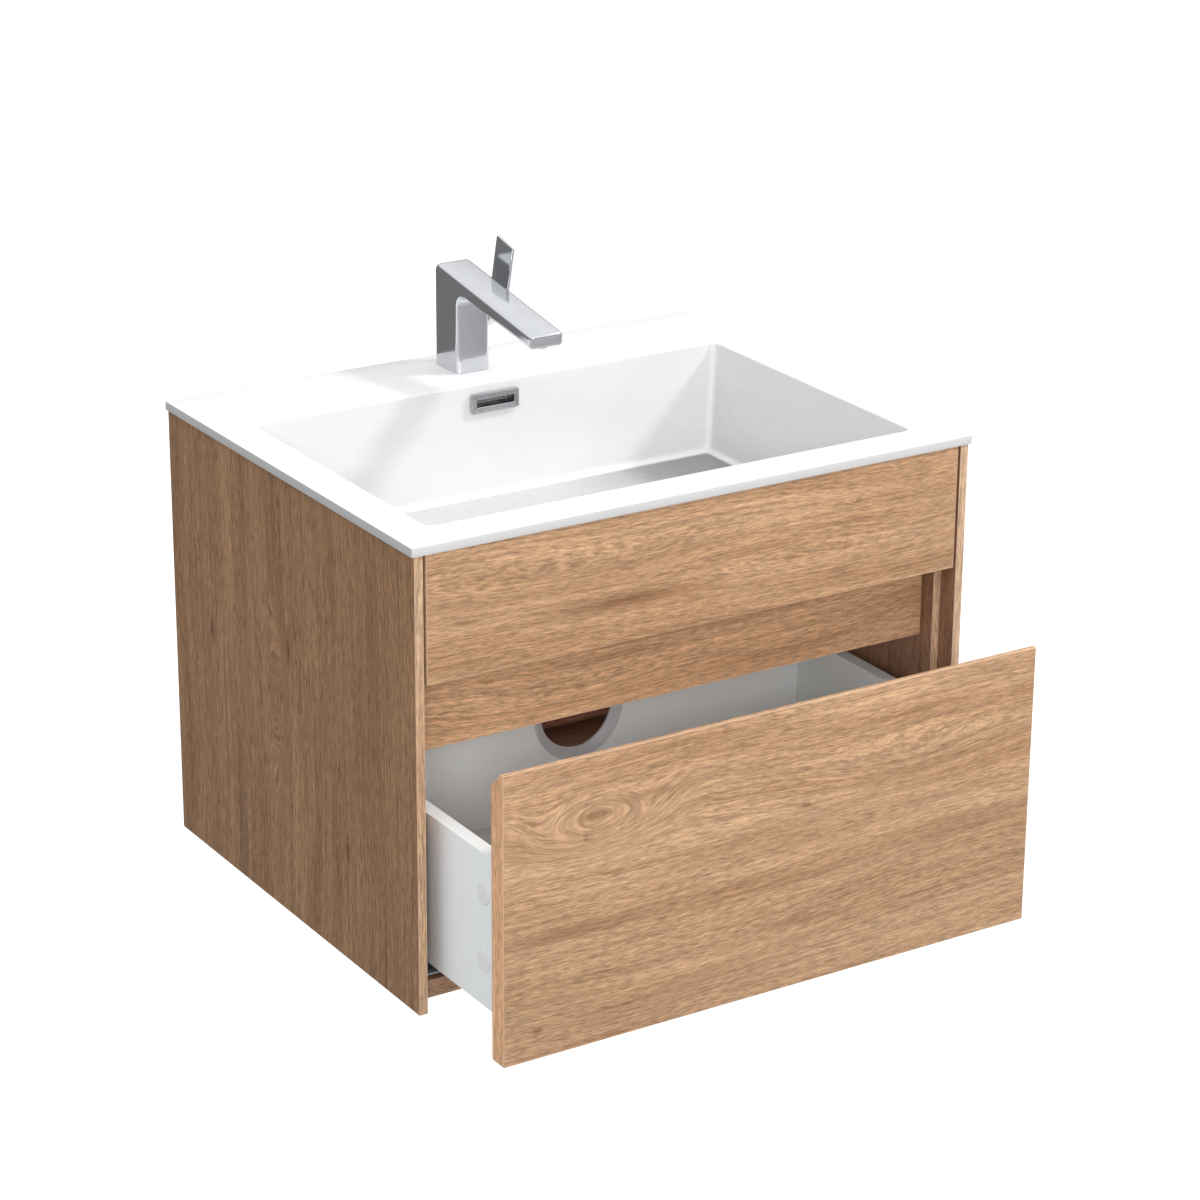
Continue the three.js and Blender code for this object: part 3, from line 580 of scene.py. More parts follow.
class Sheet:
    """The nodes of one material or world."""

    def __init__(self, owner: "bpy.types.Material | bpy.types.World") -> None:
        """Starts with an empty tree.

        Args:
            owner: the material or world.
        """
        owner.use_nodes = True
        self.tree = owner.node_tree
        self.tree.nodes.clear()

    def feed(self, socket: "bpy.types.NodeSocket", value: object) -> None:
        """Links a value to an input, or sets it there."""
        if isinstance(value, Value):
            self.tree.links.new(value.socket, socket)
        elif socket.type == "RGBA":
            socket.default_value = (*value, 1.0)
        else:
            socket.default_value = value

    def node(self, kind: str, settings: dict, inputs: dict, output: int | str = 0) -> Value:
        """Adds a node, sets it up and returns one of its outputs.

        Args:
            kind: the node's type.
            settings: properties, which are set first.
            inputs: values or links by input name or number.
            output: the name or number of the output wanted.

        Returns:
            The output as a value.
        """
        node = self.tree.nodes.new(kind)
        for key, setting in settings.items():
            setattr(node, key, setting)
        for key, value in inputs.items():
            self.feed(node.inputs[key], value)
        return Value(self, node.outputs[output])

    def place(self) -> Value:
        """The point's place in the frame."""
        return self.node("ShaderNodeTexCoord", {}, {}, "Object")

    def normal(self) -> Value:
        """The surface's direction in the frame."""
        return self.node("ShaderNodeTexCoord", {}, {}, "Normal")

    def noise(self, x: Value | float, y: Value | float, z: Value | float, detail: float = 2.0,
              rough: float = 0.5, distortion: float = 0.0) -> Value:
        """Soft noise between 0 and 1 at the given place, whose cells are one unit wide."""
        place = self.node("ShaderNodeCombineXYZ", {}, {0: x, 1: y, 2: z})
        return self.node("ShaderNodeTexNoise", {"noise_dimensions": "3D"},
                         {"Vector": place, "Scale": 1.0, "Detail": detail, "Roughness": rough,
                          "Distortion": distortion})

    def mix(self, factor: Value | float, first: object, second: object) -> Value:
        """A colour between two colours."""
        node = self.tree.nodes.new("ShaderNodeMix")
        node.data_type = "RGBA"
        named = {s.identifier: s for s in node.inputs}
        self.feed(named["Factor_Float"], factor)
        self.feed(named["A_Color"], first)
        self.feed(named["B_Color"], second)
        return Value(self, next(s for s in node.outputs if s.identifier == "Result_Color"))

    def scaled(self, colour: object, factor: Value) -> Value:
        """A colour made lighter or darker by a factor."""
        return self.node("ShaderNodeVectorMath", {"operation": "SCALE"}, {0: colour, 3: factor})

    def bump(self, height: Value, strength: float, distance: float) -> Value:
        """A surface direction bent by a height."""
        return self.node("ShaderNodeBump", {},
                         {"Strength": strength, "Distance": distance, "Height": height}, "Normal")

    def surface(self, inputs: dict) -> None:
        """The final shader with the given inputs."""
        shader = self.tree.nodes.new("ShaderNodeBsdfPrincipled")
        for key, value in inputs.items():
            self.feed(shader.inputs[key], value)
        end = self.tree.nodes.new("ShaderNodeOutputMaterial")
        self.tree.links.new(shader.outputs[0], end.inputs[0])


def new_sheet(name: str) -> tuple["bpy.types.Material", Sheet]:
    """A new material and its empty sheet."""
    material = bpy.data.materials.new(name)
    return material, Sheet(material)


# ------------------------------------------------------------------------------------------
# Finishes.


@dataclass(frozen=True)
class Figure:
    """A mark in the grain of a board, placed in metres in the frame.

    Attributes:
        along: its middle along the grain.
        across: its middle across the grain.
        length: its half length along the grain.
        width: its half width.
        lift: how far the grain is pushed sideways over it.
        dark: how dark its middle is, from 0 to 1.
        eye: how far the grain closes into rings round it, from 0 to 1.
    """

    along: float
    across: float
    length: float
    width: float
    lift: float = 0.0
    dark: float = 0.0
    eye: float = 0.0


@dataclass(frozen=True)
class WoodLaminate:
    """A board face printed and embossed as straight-grained timber.

    Attributes:
        name: the material's name.
        grain: the direction of the grain.
        across: the direction across it, in the plane of the face.
        low: the board's lowest corner.
        high: the board's highest corner.
        pale: the palest colour.
        deep: the deepest colour of the broad bands.
        vein: the colour of the pores and veins.
        rim: the colour along the arrises.
        figures: the marks in the grain.
        seed: shifts the pattern from board to board.
        veins: how strong the dark veins are.
        rim_width: the width of the arris line.
        roughness: the laminate's mean roughness.
    """

    name: str
    grain: Axis
    across: Axis
    low: Point
    high: Point
    pale: Colour = (0.61, 0.382, 0.222)
    deep: Colour = (0.462, 0.265, 0.142)
    vein: Colour = (0.25, 0.115, 0.055)
    rim: Colour = (0.74, 0.52, 0.37)
    figures: tuple[Figure, ...] = ()
    seed: float = 0.0
    veins: float = 0.6
    rim_width: float = 0.9 * MM
    roughness: float = 0.5

    def material(self) -> "bpy.types.Material":
        """Builds the material.

        The across coordinate is bent by slow noise and by each figure's Gaussian, and near
        an eye it becomes the distance from its middle, so that its contours close into
        ovals. Every layer of grain is noise stretched along the grain on that coordinate.

        Returns:
            The material.
        """
        made, sheet = new_sheet(self.name)
        place = sheet.place().parts()
        depth_axis = 3 - self.grain.value - self.across.value
        along, across, depth = place[self.grain.value], place[self.across.value], place[depth_axis]

        slow = sheet.noise(along * 2.2 + self.seed, across * 4.0, self.seed, 1.0)
        ripple = sheet.noise(along * 16.0, across * 30.0 + self.seed, self.seed, 2.0)
        bent = across + (slow - 0.5) * 0.045 + (ripple - 0.5) * 0.0022 + depth * 0.8
        core = None
        for figure in self.figures:
            a = (along - figure.along) / figure.length
            b = (across - figure.across) / figure.width
            hill = (-(a * a + b * b)).exp()
            if figure.lift:
                bent = bent + hill * figure.lift
            if figure.eye:
                ring = (a * a + b * b).root()
                bent = bent + (ring - b) * hill.step(0.04, 0.7) * (figure.eye * figure.width)
            if figure.dark:
                mark = hill * figure.dark
                core = mark if core is None else core.most(mark)

        bands = sheet.noise(along * 2.6, bent * 30.0 + self.seed, self.seed + 3.1, 4.0, 0.6)
        growth = sheet.noise(along * 5.0, bent * 300.0, self.seed + 7.7, 3.0, 0.65)
        fibre = sheet.noise(along * 85.0, bent * 900.0, self.seed + 1.3, 2.0, 0.7)
        dashes = sheet.noise(along * 42.0, bent * 430.0, self.seed + 5.9, 3.0, 0.65)
        streak = sheet.noise(along * 3.4, bent * 95.0 + self.seed, self.seed + 9.2, 3.0, 0.6)
        breaks = sheet.noise(along * 55.0, bent * 600.0, self.seed + 2.2, 2.0)

        colour = sheet.mix(bands.ramp(0.34, 0.68, 0.0, 1.0), self.pale, self.deep)
        colour = sheet.scaled(colour, growth.ramp(0.34, 0.66, 1.16, 0.82))
        colour = sheet.scaled(colour, fibre.ramp(0.33, 0.67, 1.34, 0.68))
        vein = streak.step(0.6, 0.72) * breaks.step(0.36, 0.6) * self.veins
        vein = vein.most(dashes.step(0.56, 0.66) * 0.8 * self.veins)
        if core is not None:
            vein = vein.most((core * (breaks * 1.3 + 0.35)).least(0.92))
        colour = sheet.mix(vein, colour, self.vein)

        gaps = []
        for axis in range(3):
            middle = 0.5 * (self.low[axis] + self.high[axis])
            half = 0.5 * (self.high[axis] - self.low[axis])
            gaps.append(half - abs(place[axis] - middle))
        smaller, larger = gaps[0].least(gaps[1]), gaps[0].most(gaps[1])
        arris = smaller.most(larger.least(gaps[2]))
        rim = (1.0 - arris.step(0.35 * self.rim_width, self.rim_width)) * 0.75
        colour = sheet.mix(rim, colour, self.rim)

        sheet.surface({
            "Base Color": colour,
            "Roughness": fibre.ramp(0.3, 0.7, self.roughness - 0.07, self.roughness + 0.09),
            "Specular IOR Level": 0.35,
            "Normal": sheet.bump(fibre - dashes.step(0.56, 0.66), 0.25, 0.12 * MM),
        })
        return made


@dataclass(frozen=True)
class Coating:
    """A plain coating or moulding with fine life in its tone, gloss and surface.

    Attributes:
        name: the material's name.
        colour: its usual colour.
        shade: the colour that it wanders towards.
        gloss: lowest and highest roughness.
        metal: how metallic it is.
        grain: wavelength of the fine texture in metres.
        relief: height of the fine texture in metres.
        cloud: wavelength of the slow variation in metres.
        stretch: how much longer the fine texture is along each axis.
        coat: weight of a clear coat.
    """

    name: str
    colour: Colour
    shade: Colour
    gloss: tuple[float, float]
    metal: float = 0.0
    grain: float = 1.0 * MM
    relief: float = 0.02 * MM
    cloud: float = 60.0 * MM
    stretch: Point = (1.0, 1.0, 1.0)
    coat: float = 0.0

    def material(self) -> "bpy.types.Material":
        """Builds the material from one slow and one fine noise."""
        made, sheet = new_sheet(self.name)
        x, y, z = sheet.place().parts()
        slow = sheet.noise(x / self.cloud, y / self.cloud, z / self.cloud, 2.0)
        fine = sheet.noise(x / (self.grain * self.stretch[0]), y / (self.grain * self.stretch[1]),
                           z / (self.grain * self.stretch[2]), 2.0, 0.6)
        blend = (slow * 0.6 + fine * 0.4).ramp(0.3, 0.7, 0.0, 1.0)
        sheet.surface({
            "Base Color": sheet.mix(blend, self.colour, self.shade),
            "Metallic": self.metal,
            "Roughness": blend.ramp(0.0, 1.0, *self.gloss),
            "Coat Weight": self.coat,
            "Coat Roughness": 0.05,
            "Normal": sheet.bump(fine, 0.5, self.relief),
        })
        return made


@dataclass(frozen=True)
class CompositeTones:
    """The moulded composite's base colours by place.

    Attributes:
        deck: the deck's white, also laid on the rounded seams as a painted highlight.
        cross_wall_shade: painted shade on the bowl's back and front walls.
        left_wall_shade: painted shade on its left wall.
        right_wall_shade: painted shade on its right wall.
        floor: painted shade on its floor.
        painted_shadow: a painted shadow at the right rear of the floor.
        end_edge_shade: painted shade on the slab's edges at the left and right.
        front_edge_shade: painted shade on its edge at the front.
    """

    deck: Colour = (0.93, 0.93, 0.93)
    # The walls' and the floor's tones are painted shade; the top itself is one white.
    cross_wall_shade: Colour = (0.81, 0.81, 0.81)
    left_wall_shade: Colour = (0.67, 0.67, 0.672)
    right_wall_shade: Colour = (0.74, 0.74, 0.742)
    floor: Colour = (0.64, 0.64, 0.642)
    # A painted shadow on the floor.
    painted_shadow: Colour = (0.31, 0.31, 0.312)
    # Painted shade on the slab's outer edges.
    end_edge_shade: Colour = (0.5, 0.498, 0.497)
    front_edge_shade: Colour = (0.74, 0.74, 0.74)


class Palette:
    """The finishes that do not depend on a board, each made once."""

    def __init__(self) -> None:
        """Builds every plain finish."""
        self.composite = self.moulded_composite()
        self.melamine = Coating(
            "white_melamine", (0.905, 0.935, 0.94), (0.865, 0.895, 0.90), (0.42, 0.58),
            grain=0.7 * MM, relief=0.03 * MM, cloud=90 * MM).material()
        self.chrome = Coating(
            "polished_chrome", (0.68, 0.692, 0.715), (0.645, 0.656, 0.678), (0.09, 0.15), metal=1.0,
            grain=9 * MM, relief=0.01 * MM, cloud=25 * MM).material()
        self.satin_chrome = Coating(
            "satin_chrome", (0.56, 0.568, 0.58), (0.42, 0.428, 0.44), (0.2, 0.34), metal=1.0,
            grain=0.5 * MM, relief=0.02 * MM, cloud=8 * MM, stretch=(14.0, 1.0, 1.0)).material()
        self.zinc = Coating(
            "zinc_plate", (0.6, 0.625, 0.65), (0.47, 0.49, 0.51), (0.26, 0.42), metal=1.0,
            grain=1.2 * MM, relief=0.012 * MM, cloud=14 * MM, stretch=(1.0, 6.0, 1.0)).material()
        self.brass = Coating(
            "turned_brass", (0.74, 0.58, 0.3), (0.62, 0.46, 0.22), (0.22, 0.36), metal=1.0,
            grain=0.6 * MM, relief=0.02 * MM, cloud=9 * MM, stretch=(8.0, 8.0, 1.0)).material()
        self.rubber = Coating(
            "black_rubber", (0.025, 0.025, 0.026), (0.045, 0.045, 0.047), (0.6, 0.8),
            grain=0.5 * MM, relief=0.04 * MM, cloud=12 * MM).material()
        self.white_plastic = Coating(
            "white_moulding", (0.88, 0.885, 0.88), (0.83, 0.835, 0.83), (0.3, 0.42),
            grain=0.6 * MM, relief=0.01 * MM, cloud=20 * MM).material()
        # A greyer copy of the white moulding: painted shade on the liner's sloped band.
        self.shaded_liner_plastic = Coating(
            "shaded_liner_moulding", (0.66, 0.665, 0.70), (0.58, 0.585, 0.62), (0.3, 0.42),
            grain=0.6 * MM, relief=0.01 * MM, cloud=20 * MM).material()
        self.grey_plastic = Coating(
            "grey_moulding", (0.2, 0.21, 0.22), (0.15, 0.16, 0.17), (0.38, 0.52),
            grain=0.5 * MM, relief=0.02 * MM, cloud=14 * MM).material()

    @staticmethod
    def moulded_composite() -> "bpy.types.Material":
        """The moulded composite.

        A real top is one white. Its tones differ here by wall and by place, and stand in for
        the photograph's light in the bowl, which the studio doesn't give.
        """
        tones = CompositeTones()
        made, sheet = new_sheet("moulded_composite")
        x, y, z = sheet.place().parts()
        u, v, w = (abs(part) for part in sheet.normal().parts())
        low, high = box_of("basin_top")
        deck = w.step(0.8, 0.97) * z.step(high[2] - 2 * MM, high[2] - 0.3 * MM)
        # The rounded seams take the deck's white below: a painted highlight.
        seam_highlight = (u * v).most(u.most(v) * w).step(0.3, 0.5) * 0.8
        # The slab's outer edges take darker tones below: painted shade.
        rim = abs(x).step(high[0] - 1.0 * MM, high[0] - 0.5 * MM).most(
            (-y).step(-low[1] - 1.0 * MM, -low[1] - 0.5 * MM))
        edge = rim * (1.0 - w.step(0.3, 0.9))
        hollow = w.step(0.8, 0.97) * (1.0 - z.step(high[2] - 60 * MM, high[2] - 30 * MM))
        # A darker tone on the floor at the right rear of the bowl: a painted shadow.
        corner = (x.step(0.03, 0.225) * y.step(-0.30, -0.16)) * hollow
        slow = sheet.noise(x * 9.0, y * 9.0, z * 26.0, 3.0, 0.55)
        fine = sheet.noise(x * 500.0, y * 500.0, z * 500.0, 2.0, 0.6)
        # Each wall and the floor take a darker tone of their own: painted shade.
        side = sheet.mix(x.step(-0.05, 0.05), tones.left_wall_shade, tones.right_wall_shade)
        colour = sheet.mix(v, side, tones.cross_wall_shade)
        colour = sheet.mix(hollow, colour, tones.floor)
        colour = sheet.mix(deck.most(seam_highlight), colour, tones.deck)
        colour = sheet.mix(edge, colour, sheet.mix(v, tones.end_edge_shade, tones.front_edge_shade))
        colour = sheet.mix(corner, colour, tones.painted_shadow)
        sheet.surface({
            "Base Color": sheet.scaled(colour,
                                       (slow * 0.8 + fine * 0.2).ramp(0.3, 0.7, 1.025, 0.965)),
            "Roughness": slow.ramp(0.3, 0.7, 0.22, 0.32),
            "Specular IOR Level": 0.3,
            "Normal": sheet.bump(fine, 0.4, 0.004 * MM),
        })
        return made


def oak(name: str, node: str, grain: Axis, across: Axis, **extra: object) -> "bpy.types.Material":
    """The light oak laminate for a node's board.

    Args:
        name: the material's name.
        node: the model's node.
        grain: the direction of the grain.
        across: the direction across it.
        extra: other fields of the laminate.

    Returns:
        The material.
    """
    low, high = box_of(node)
    return WoodLaminate(name, grain, across, tuple(low), tuple(high), **extra).material()


def walnut(name: str, node: str, grain: Axis, across: Axis,
           **extra: object) -> "bpy.types.Material":
    """The dark inner laminate for a node's board, with the same arguments as oak."""
    tones = {"pale": (0.36, 0.195, 0.115), "deep": (0.23, 0.115, 0.068),
             "vein": (0.07, 0.034, 0.02),
             "rim": (0.4, 0.24, 0.15), "roughness": 0.55}
    return oak(name, node, grain, across, **{**tones, **extra})


# ------------------------------------------------------------------------------------------
# Fixings.


@dataclass(frozen=True)
class PanScrew:
    """A pan-head screw seen from outside: a domed head with a cross recess.

    Attributes:
        radius: head radius.
        height: head height.
        recess: half length of the cross recess.
    """

    radius: float = 3.6 * MM
    height: float = 1.8 * MM
    recess: float = 2.0 * MM

    def surface(self, face: Face, place: Point) -> Surface:
        """The head standing on a plane.

        The dome is r sin t out and h cos t up, and the recess is a cross of low grooves
        whose depth falls off with the distance from either arm.

        Args:
            face: the way that the head looks.
            place: the middle of its foot.

        Returns:
            The closed surface.
        """
        rise = np.linspace(0, 1, 12)[:, None]
        turn = np.linspace(0, 2 * math.pi, 32, endpoint=False)[None, :]
        out = self.radius * np.sin(rise * math.pi / 2) * np.ones_like(turn)
        up = self.height * (0.25 + 0.75 * np.cos(rise * math.pi / 2)) * np.ones_like(turn)
        u, v = out * np.cos(turn), out * np.sin(turn)
        arm = np.minimum(np.abs(u), np.abs(v))
        reach = np.maximum(np.abs(u), np.abs(v))
        groove = np.clip(1 - arm / (0.5 * MM), 0, 1) * np.clip(2 * (1 - reach / self.recess), 0, 1)
        up = up - 0.75 * self.height * groove
        top = np.stack([u, v, up], axis=-1)
        foot = np.stack([u[-1], v[-1], np.zeros(u.shape[1])], axis=-1)[None]
        base = np.zeros((1, u.shape[1], 3))
        grid = np.concatenate([top, foot, base])
        quads = grid_faces(grid.shape[0], grid.shape[1], False, True)
        local = welded(grid.reshape(-1, 3), quads.tolist(), np.zeros(len(quads), dtype=bool))
        axis, way = face.value
        basis = np.zeros((3, 3))
        basis[(axis + 1) % 3, 0] = 1.0
        basis[(axis + 2) % 3, 1] = 1.0
        basis[axis, 2] = way
        return local.moved(basis, np.array(place)).outward()


def screws(name: str, body: Body, palette: Palette, face: Face, places: list[Point]) -> None:
    """Puts a set of screw heads on one body.

    Args:
        name: the piece's name.
        body: the body that they move with.
        palette: the finishes.
        face: the way that the heads look.
        places: the middle of each head's foot.
    """
    head = PanScrew()
    put(name, together(*(head.surface(face, place) for place in places)), body,
        palette.zinc, crease=40.0)


# ------------------------------------------------------------------------------------------
# Carcass.


@dataclass
class Carcass:
    """The fixed boards: outer panels, inner cheeks, base, rails and the false front.

    Attributes:
        palette: the finishes.
        arris: radius of the boards' edges.
    """

    palette: Palette
    arris: float = 0.5 * MM

    def board(self, node: str, finish: "bpy.types.Material",
              faces: dict[Face, "bpy.types.Material"] | None = None,
              body: Body = Body.CABINET) -> None:
        """A board with softened edges in place of the model's node.

        Args:
            node: the model's node.
            finish: the finish of its sides.
            faces: other finishes by side.
            body: the body that it moves with.
        """
        low, high = box_of(node)
        put(f"{node}_board", rounded_block(low, high, self.arris), body, finish, (node,),
            faces)

    def side_panels(self) -> None:
        """Outer panels: oak outside and on the edges, dark inside. The outside oak is darker than
        the fronts' as painted shade.
        """
        for hand in Hand:
            node = f"side_panel_{hand.word}"
            low, high = box_of(node)
            front, depth = low[1], high[1] - low[1]
            height = high[2] - low[2]
            marks = (
                Figure(low[2] + 0.255 * height, front + 0.27 * depth, 0.012, 0.0022, 0.004, 0.9),
                Figure(low[2] + 0.62 * height, front + 0.50 * depth, 0.016, 0.003, 0.006, 0.95),
                Figure(low[2] + 0.55 * height, front + 0.83 * depth, 0.013, 0.003, 0.005, 0.9),
                Figure(low[2] + 0.43 * height, front + 0.30 * depth, 0.01, 0.002, 0.004, 0.7),
                Figure(low[2] + 0.50 * height, front + 0.56 * depth, 0.085, 0.020, 0.0, 0.15, 0.9),
                Figure(low[2] + 0.80 * height, front + 0.16 * depth, 0.12, 0.012, 0.0, 0.28),
                Figure(low[2] + 0.20 * height, front + 0.72 * depth, 0.10, 0.010, 0.0, 0.25),
            )
            # The outside oak is a darker copy of the fronts' oak: painted shade.
            outside = oak(f"oak_{node}", node, Axis.Z, Axis.Y, figures=marks,
                          seed=11.0 + hand.value,
                          pale=(0.345, 0.196, 0.100), deep=(0.262, 0.140, 0.068),
                          vein=(0.12, 0.052, 0.025),
                          rim=(0.42, 0.26, 0.15), veins=0.7)
            inside = walnut(f"dark_{node}", node, Axis.Z, Axis.Y, seed=3.0 + hand.value)
            edge = oak(f"edge_{node}", node, Axis.Z, Axis.X, seed=21.0 + hand.value,
                       pale=(0.66, 0.45, 0.29), deep=(0.54, 0.34, 0.2), veins=0.25)
            inner = Face.RIGHT if hand is Hand.LEFT else Face.LEFT
            self.board(node, outside, {inner: inside, Face.FRONT: edge})

    def inner_cheeks(self) -> None:
        """Inner cheeks, dark all over but for the oak edge at the front."""
        for hand in Hand:
            node = f"inner_cheek_{hand.word}"
            dark = walnut(f"dark_{node}", node, Axis.Z, Axis.Y, seed=31.0 + hand.value)
            edge = oak(f"edge_{node}", node, Axis.Z, Axis.X, seed=41.0 + hand.value,
                       pale=(0.66, 0.45, 0.3), deep=(0.52, 0.33, 0.2), veins=0.3)
            self.board(node, dark, {Face.FRONT: edge})

    def rails_and_base(self) -> None:
        """Base, lower rail and the hanging rail with its notched upper corners."""
        edge = oak("edge_base_panel", "base_panel", Axis.X, Axis.Z, seed=51.0,
                   pale=(0.5, 0.3, 0.18), deep=(0.38, 0.21, 0.115))
        dark = walnut("dark_base_panel", "base_panel", Axis.X, Axis.Y, seed=52.0)
        self.board("base_panel", dark, {Face.FRONT: edge})
        # Its front face gets a far paler copy of the walnut: painted light where it shows through
        # the drawer's cut-out.
        self.board("lower_back_rail",
                   walnut("dark_lower_back_rail", "lower_back_rail", Axis.X, Axis.Z, seed=53.0),
                   {Face.FRONT: walnut("lit_lower_back_rail_front", "lower_back_rail", Axis.X, Axis.Z,
                                       seed=55.0, pale=(0.92, 0.50, 0.34),
                                       deep=(0.72, 0.36, 0.23))})
        low, high = box_of("hanging_rail")
        plate_low, _ = box_of("hanger_right")
        notch_x = plate_low[0] - 23 * MM
        notch_z = plate_low[2] - 4 * MM
        outline = rounded_outline([
            (low[0], low[2]), (high[0], low[2]), (high[0], notch_z), (notch_x, notch_z),
            (notch_x, high[2]), (-notch_x, high[2]), (-notch_x, notch_z), (low[0], notch_z)])
        put("hanging_rail_board", extruded(outline, Axis.Y, low[1], high[1], self.arris, 2),
            Body.CABINET,
            walnut("dark_hanging_rail", "hanging_rail", Axis.X, Axis.Z, seed=54.0),
            ("hanging_rail",))

    def fronts(self) -> None:
        """The false front and the rail in the finger recess below it."""
        low, high = box_of("upper_fascia")
        width, height = high[0] - low[0], high[2] - low[2]
        marks = (
            Figure(low[0] + 0.36 * width, low[2] + 0.33 * height, 0.075, 0.006, 0.004, 0.75),
            Figure(low[0] + 0.80 * width, low[2] + 0.72 * height, 0.007, 0.0016, 0.003, 0.85),
            Figure(low[0] + 0.57 * width, low[2] + 0.52 * height, 0.055, 0.003, 0.0, 0.4),
            Figure(low[0] + 0.07 * width, low[2] + 0.42 * height, 0.012, 0.002, 0.003, 0.6),
            Figure(low[0] + 0.22 * width, low[2] + 0.62 * height, 0.16, 0.02, 0.016, 0.0),
            Figure(low[0] + 0.70 * width, low[2] + 0.30 * height, 0.14, 0.018, 0.014, 0.0),
        )
        # The fascia's oak is painted a little lighter than the drawer front's: painted light.
        self.front_board("upper_fascia", marks, 61.0, 1.05)
        low, high = box_of("recess_rail")
        width, height = high[0] - low[0], high[2] - low[2]
        marks = (
            Figure(low[0] + 0.40 * width, low[2] + 0.60 * height, 0.06, 0.003, 0.0, 0.4),
            Figure(low[0] + 0.25 * width, low[2] + 0.25 * height, 0.15, 0.015, 0.01, 0.0),
        )
        # The recess rail, in the fascia's shade, is painted lighter still: painted light.
        self.front_board("recess_rail", marks, 71.0, 1.2)

    def front_board(self, node: str, marks: tuple[Figure, ...], seed: float, tone: float) -> None:
        """An oak board seen from the front, with banded ends.

        Args:
            node: the model's node.
            marks: the marks in its grain.
            seed: shifts the pattern.
            tone: how much lighter it is than the drawer front, as painted light.
        """
        # The face's colours are lifted by tone: painted light.
        pale = tuple(tone * part for part in WoodLaminate.pale)
        deep = tuple(tone * part for part in WoodLaminate.deep)
        face = oak(f"oak_{node}", node, Axis.X, Axis.Z, figures=marks, seed=seed, pale=pale,
                   deep=deep)
        end = oak(f"end_{node}", node, Axis.Z, Axis.Y, seed=seed + 1.0, veins=0.3,
                  pale=(0.7, 0.47, 0.29), deep=(0.56, 0.34, 0.19))
        self.board(node, face, {Face.LEFT: end, Face.RIGHT: end})

    def build(self) -> None:
        """Makes every fixed board."""
        self.side_panels()
        self.inner_cheeks()
        self.rails_and_base()
        self.fronts()


@dataclass
class Ironmongery:
    """Hangers, wall plates and the fascia's brackets, with their screws.

    Attributes:
        palette: the finishes.
        sheet: thickness of the pressed steel.
        bend: outer radius of a fold.
    """

    palette: Palette
    sheet: float = 2.0 * MM
    bend: float = 1.2 * MM

    def hanger(self, hand: Hand) -> None:
        """A hanger box with rounded edges, its hook and its two setting screws."""
        node = f"hanger_{hand.word}"
        low, high = box_of(node)
        side = hand.value
        shell_back = -19 * MM
        shell = rounded_block(np.array([low[0], low[1], low[2]]),
                              np.array([high[0], shell_back, high[2]]), 1.6 * MM)
        near = (264 * MM, 269 * MM)
        hook_x = near if side > 0 else (-near[1], -near[0])
        finger_front, finger_back = high[1] - 3 * MM, high[1]
        arm_low, arm_high = low[2] + 32 * MM, low[2] + 40 * MM
        foot = low[2] + 15 * MM
        outline = rounded_outline([
            (shell_back - 2 * MM, arm_low), (finger_front, arm_low), (finger_front, foot),
            (finger_back, foot, 1.0 * MM), (finger_back, arm_high, 2.4 * MM),
            (shell_back - 2 * MM, arm_high)])
        hook = extruded(outline, Axis.X, *hook_x, 0.5 * MM, 2)
        put(f"{node}_box", together(shell, hook), Body.CABINET, self.palette.zinc,
            (node,))
        middle = 0.5 * (low[0] + high[0])
        screws(f"{node}_setting_screws", Body.CABINET, self.palette, Face.FRONT,
               [(middle, low[1], low[2] + level * MM) for level in (13, 34)])

    def wall_plate(self, hand: Hand) -> None:
        """A wall plate with the upturned lip that the hook drops behind."""
        node = f"wall_plate_{hand.word}"
        low, high = box_of(node)
        back, lip = high[1], low[1]
        outline = rounded_outline([
            (back, low[2]), (back, high[2]), (back - self.sheet, high[2], 0.6 * MM),
            (back - self.sheet, low[2] + 10 * MM), (lip + self.sheet, low[2] + 10 * MM),
            (lip + self.sheet, low[2] + 27 * MM), (lip, low[2] + 27 * MM),
            (lip, low[2] + 8 * MM, self.bend), (back - self.sheet, low[2] + 8 * MM),
            (back - self.sheet, low[2], 0.6 * MM)], 4)
        put(f"{node}_pressing", extruded(outline, Axis.X, low[0], high[0], 0.3 * MM, 2),
            Body.CABINET, self.palette.zinc, (node,))
        middle = 0.5 * (low[0] + high[0])
        screws(f"{node}_screws", Body.CABINET, self.palette, Face.FRONT,
               [(middle + shift * MM, back - self.sheet, high[2] - 9 * MM) for shift in (-10, 10)])

    def bracket(self, hand: Hand) -> None:
        """An angle bracket between the fascia and the cheek."""
        node = f"fascia_bracket_{hand.word}"
        low, high = box_of(node)
        outer, inner = (high[0], low[0]) if hand is Hand.RIGHT else (low[0], high[0])
        way = 1 if hand is Hand.RIGHT else -1
        outline = rounded_outline([
            (inner, low[1]), (outer, low[1], self.bend), (outer, high[1]),
            (outer - way * self.sheet, high[1]),
            (outer - way * self.sheet, low[1] + self.sheet, 0.8 * MM),
            (inner, low[1] + self.sheet)], 4)
        put(f"{node}_angle", extruded(outline, Axis.Z, low[2], high[2], 0.3 * MM, 2),
            Body.CABINET, self.palette.zinc, (node,))
        middle = 0.5 * (inner + outer) - way * 2 * MM
        screws(f"{node}_screws", Body.CABINET, self.palette, Face.BACK,
               [(middle, low[1] + self.sheet, low[2] + level * MM) for level in (16, 64)])

    def build(self) -> None:
        """Makes the steel parts for both hands."""
        for hand in Hand:
            self.hanger(hand)
            self.wall_plate(hand)
            self.bracket(hand)


# ------------------------------------------------------------------------------------------
# Basin.


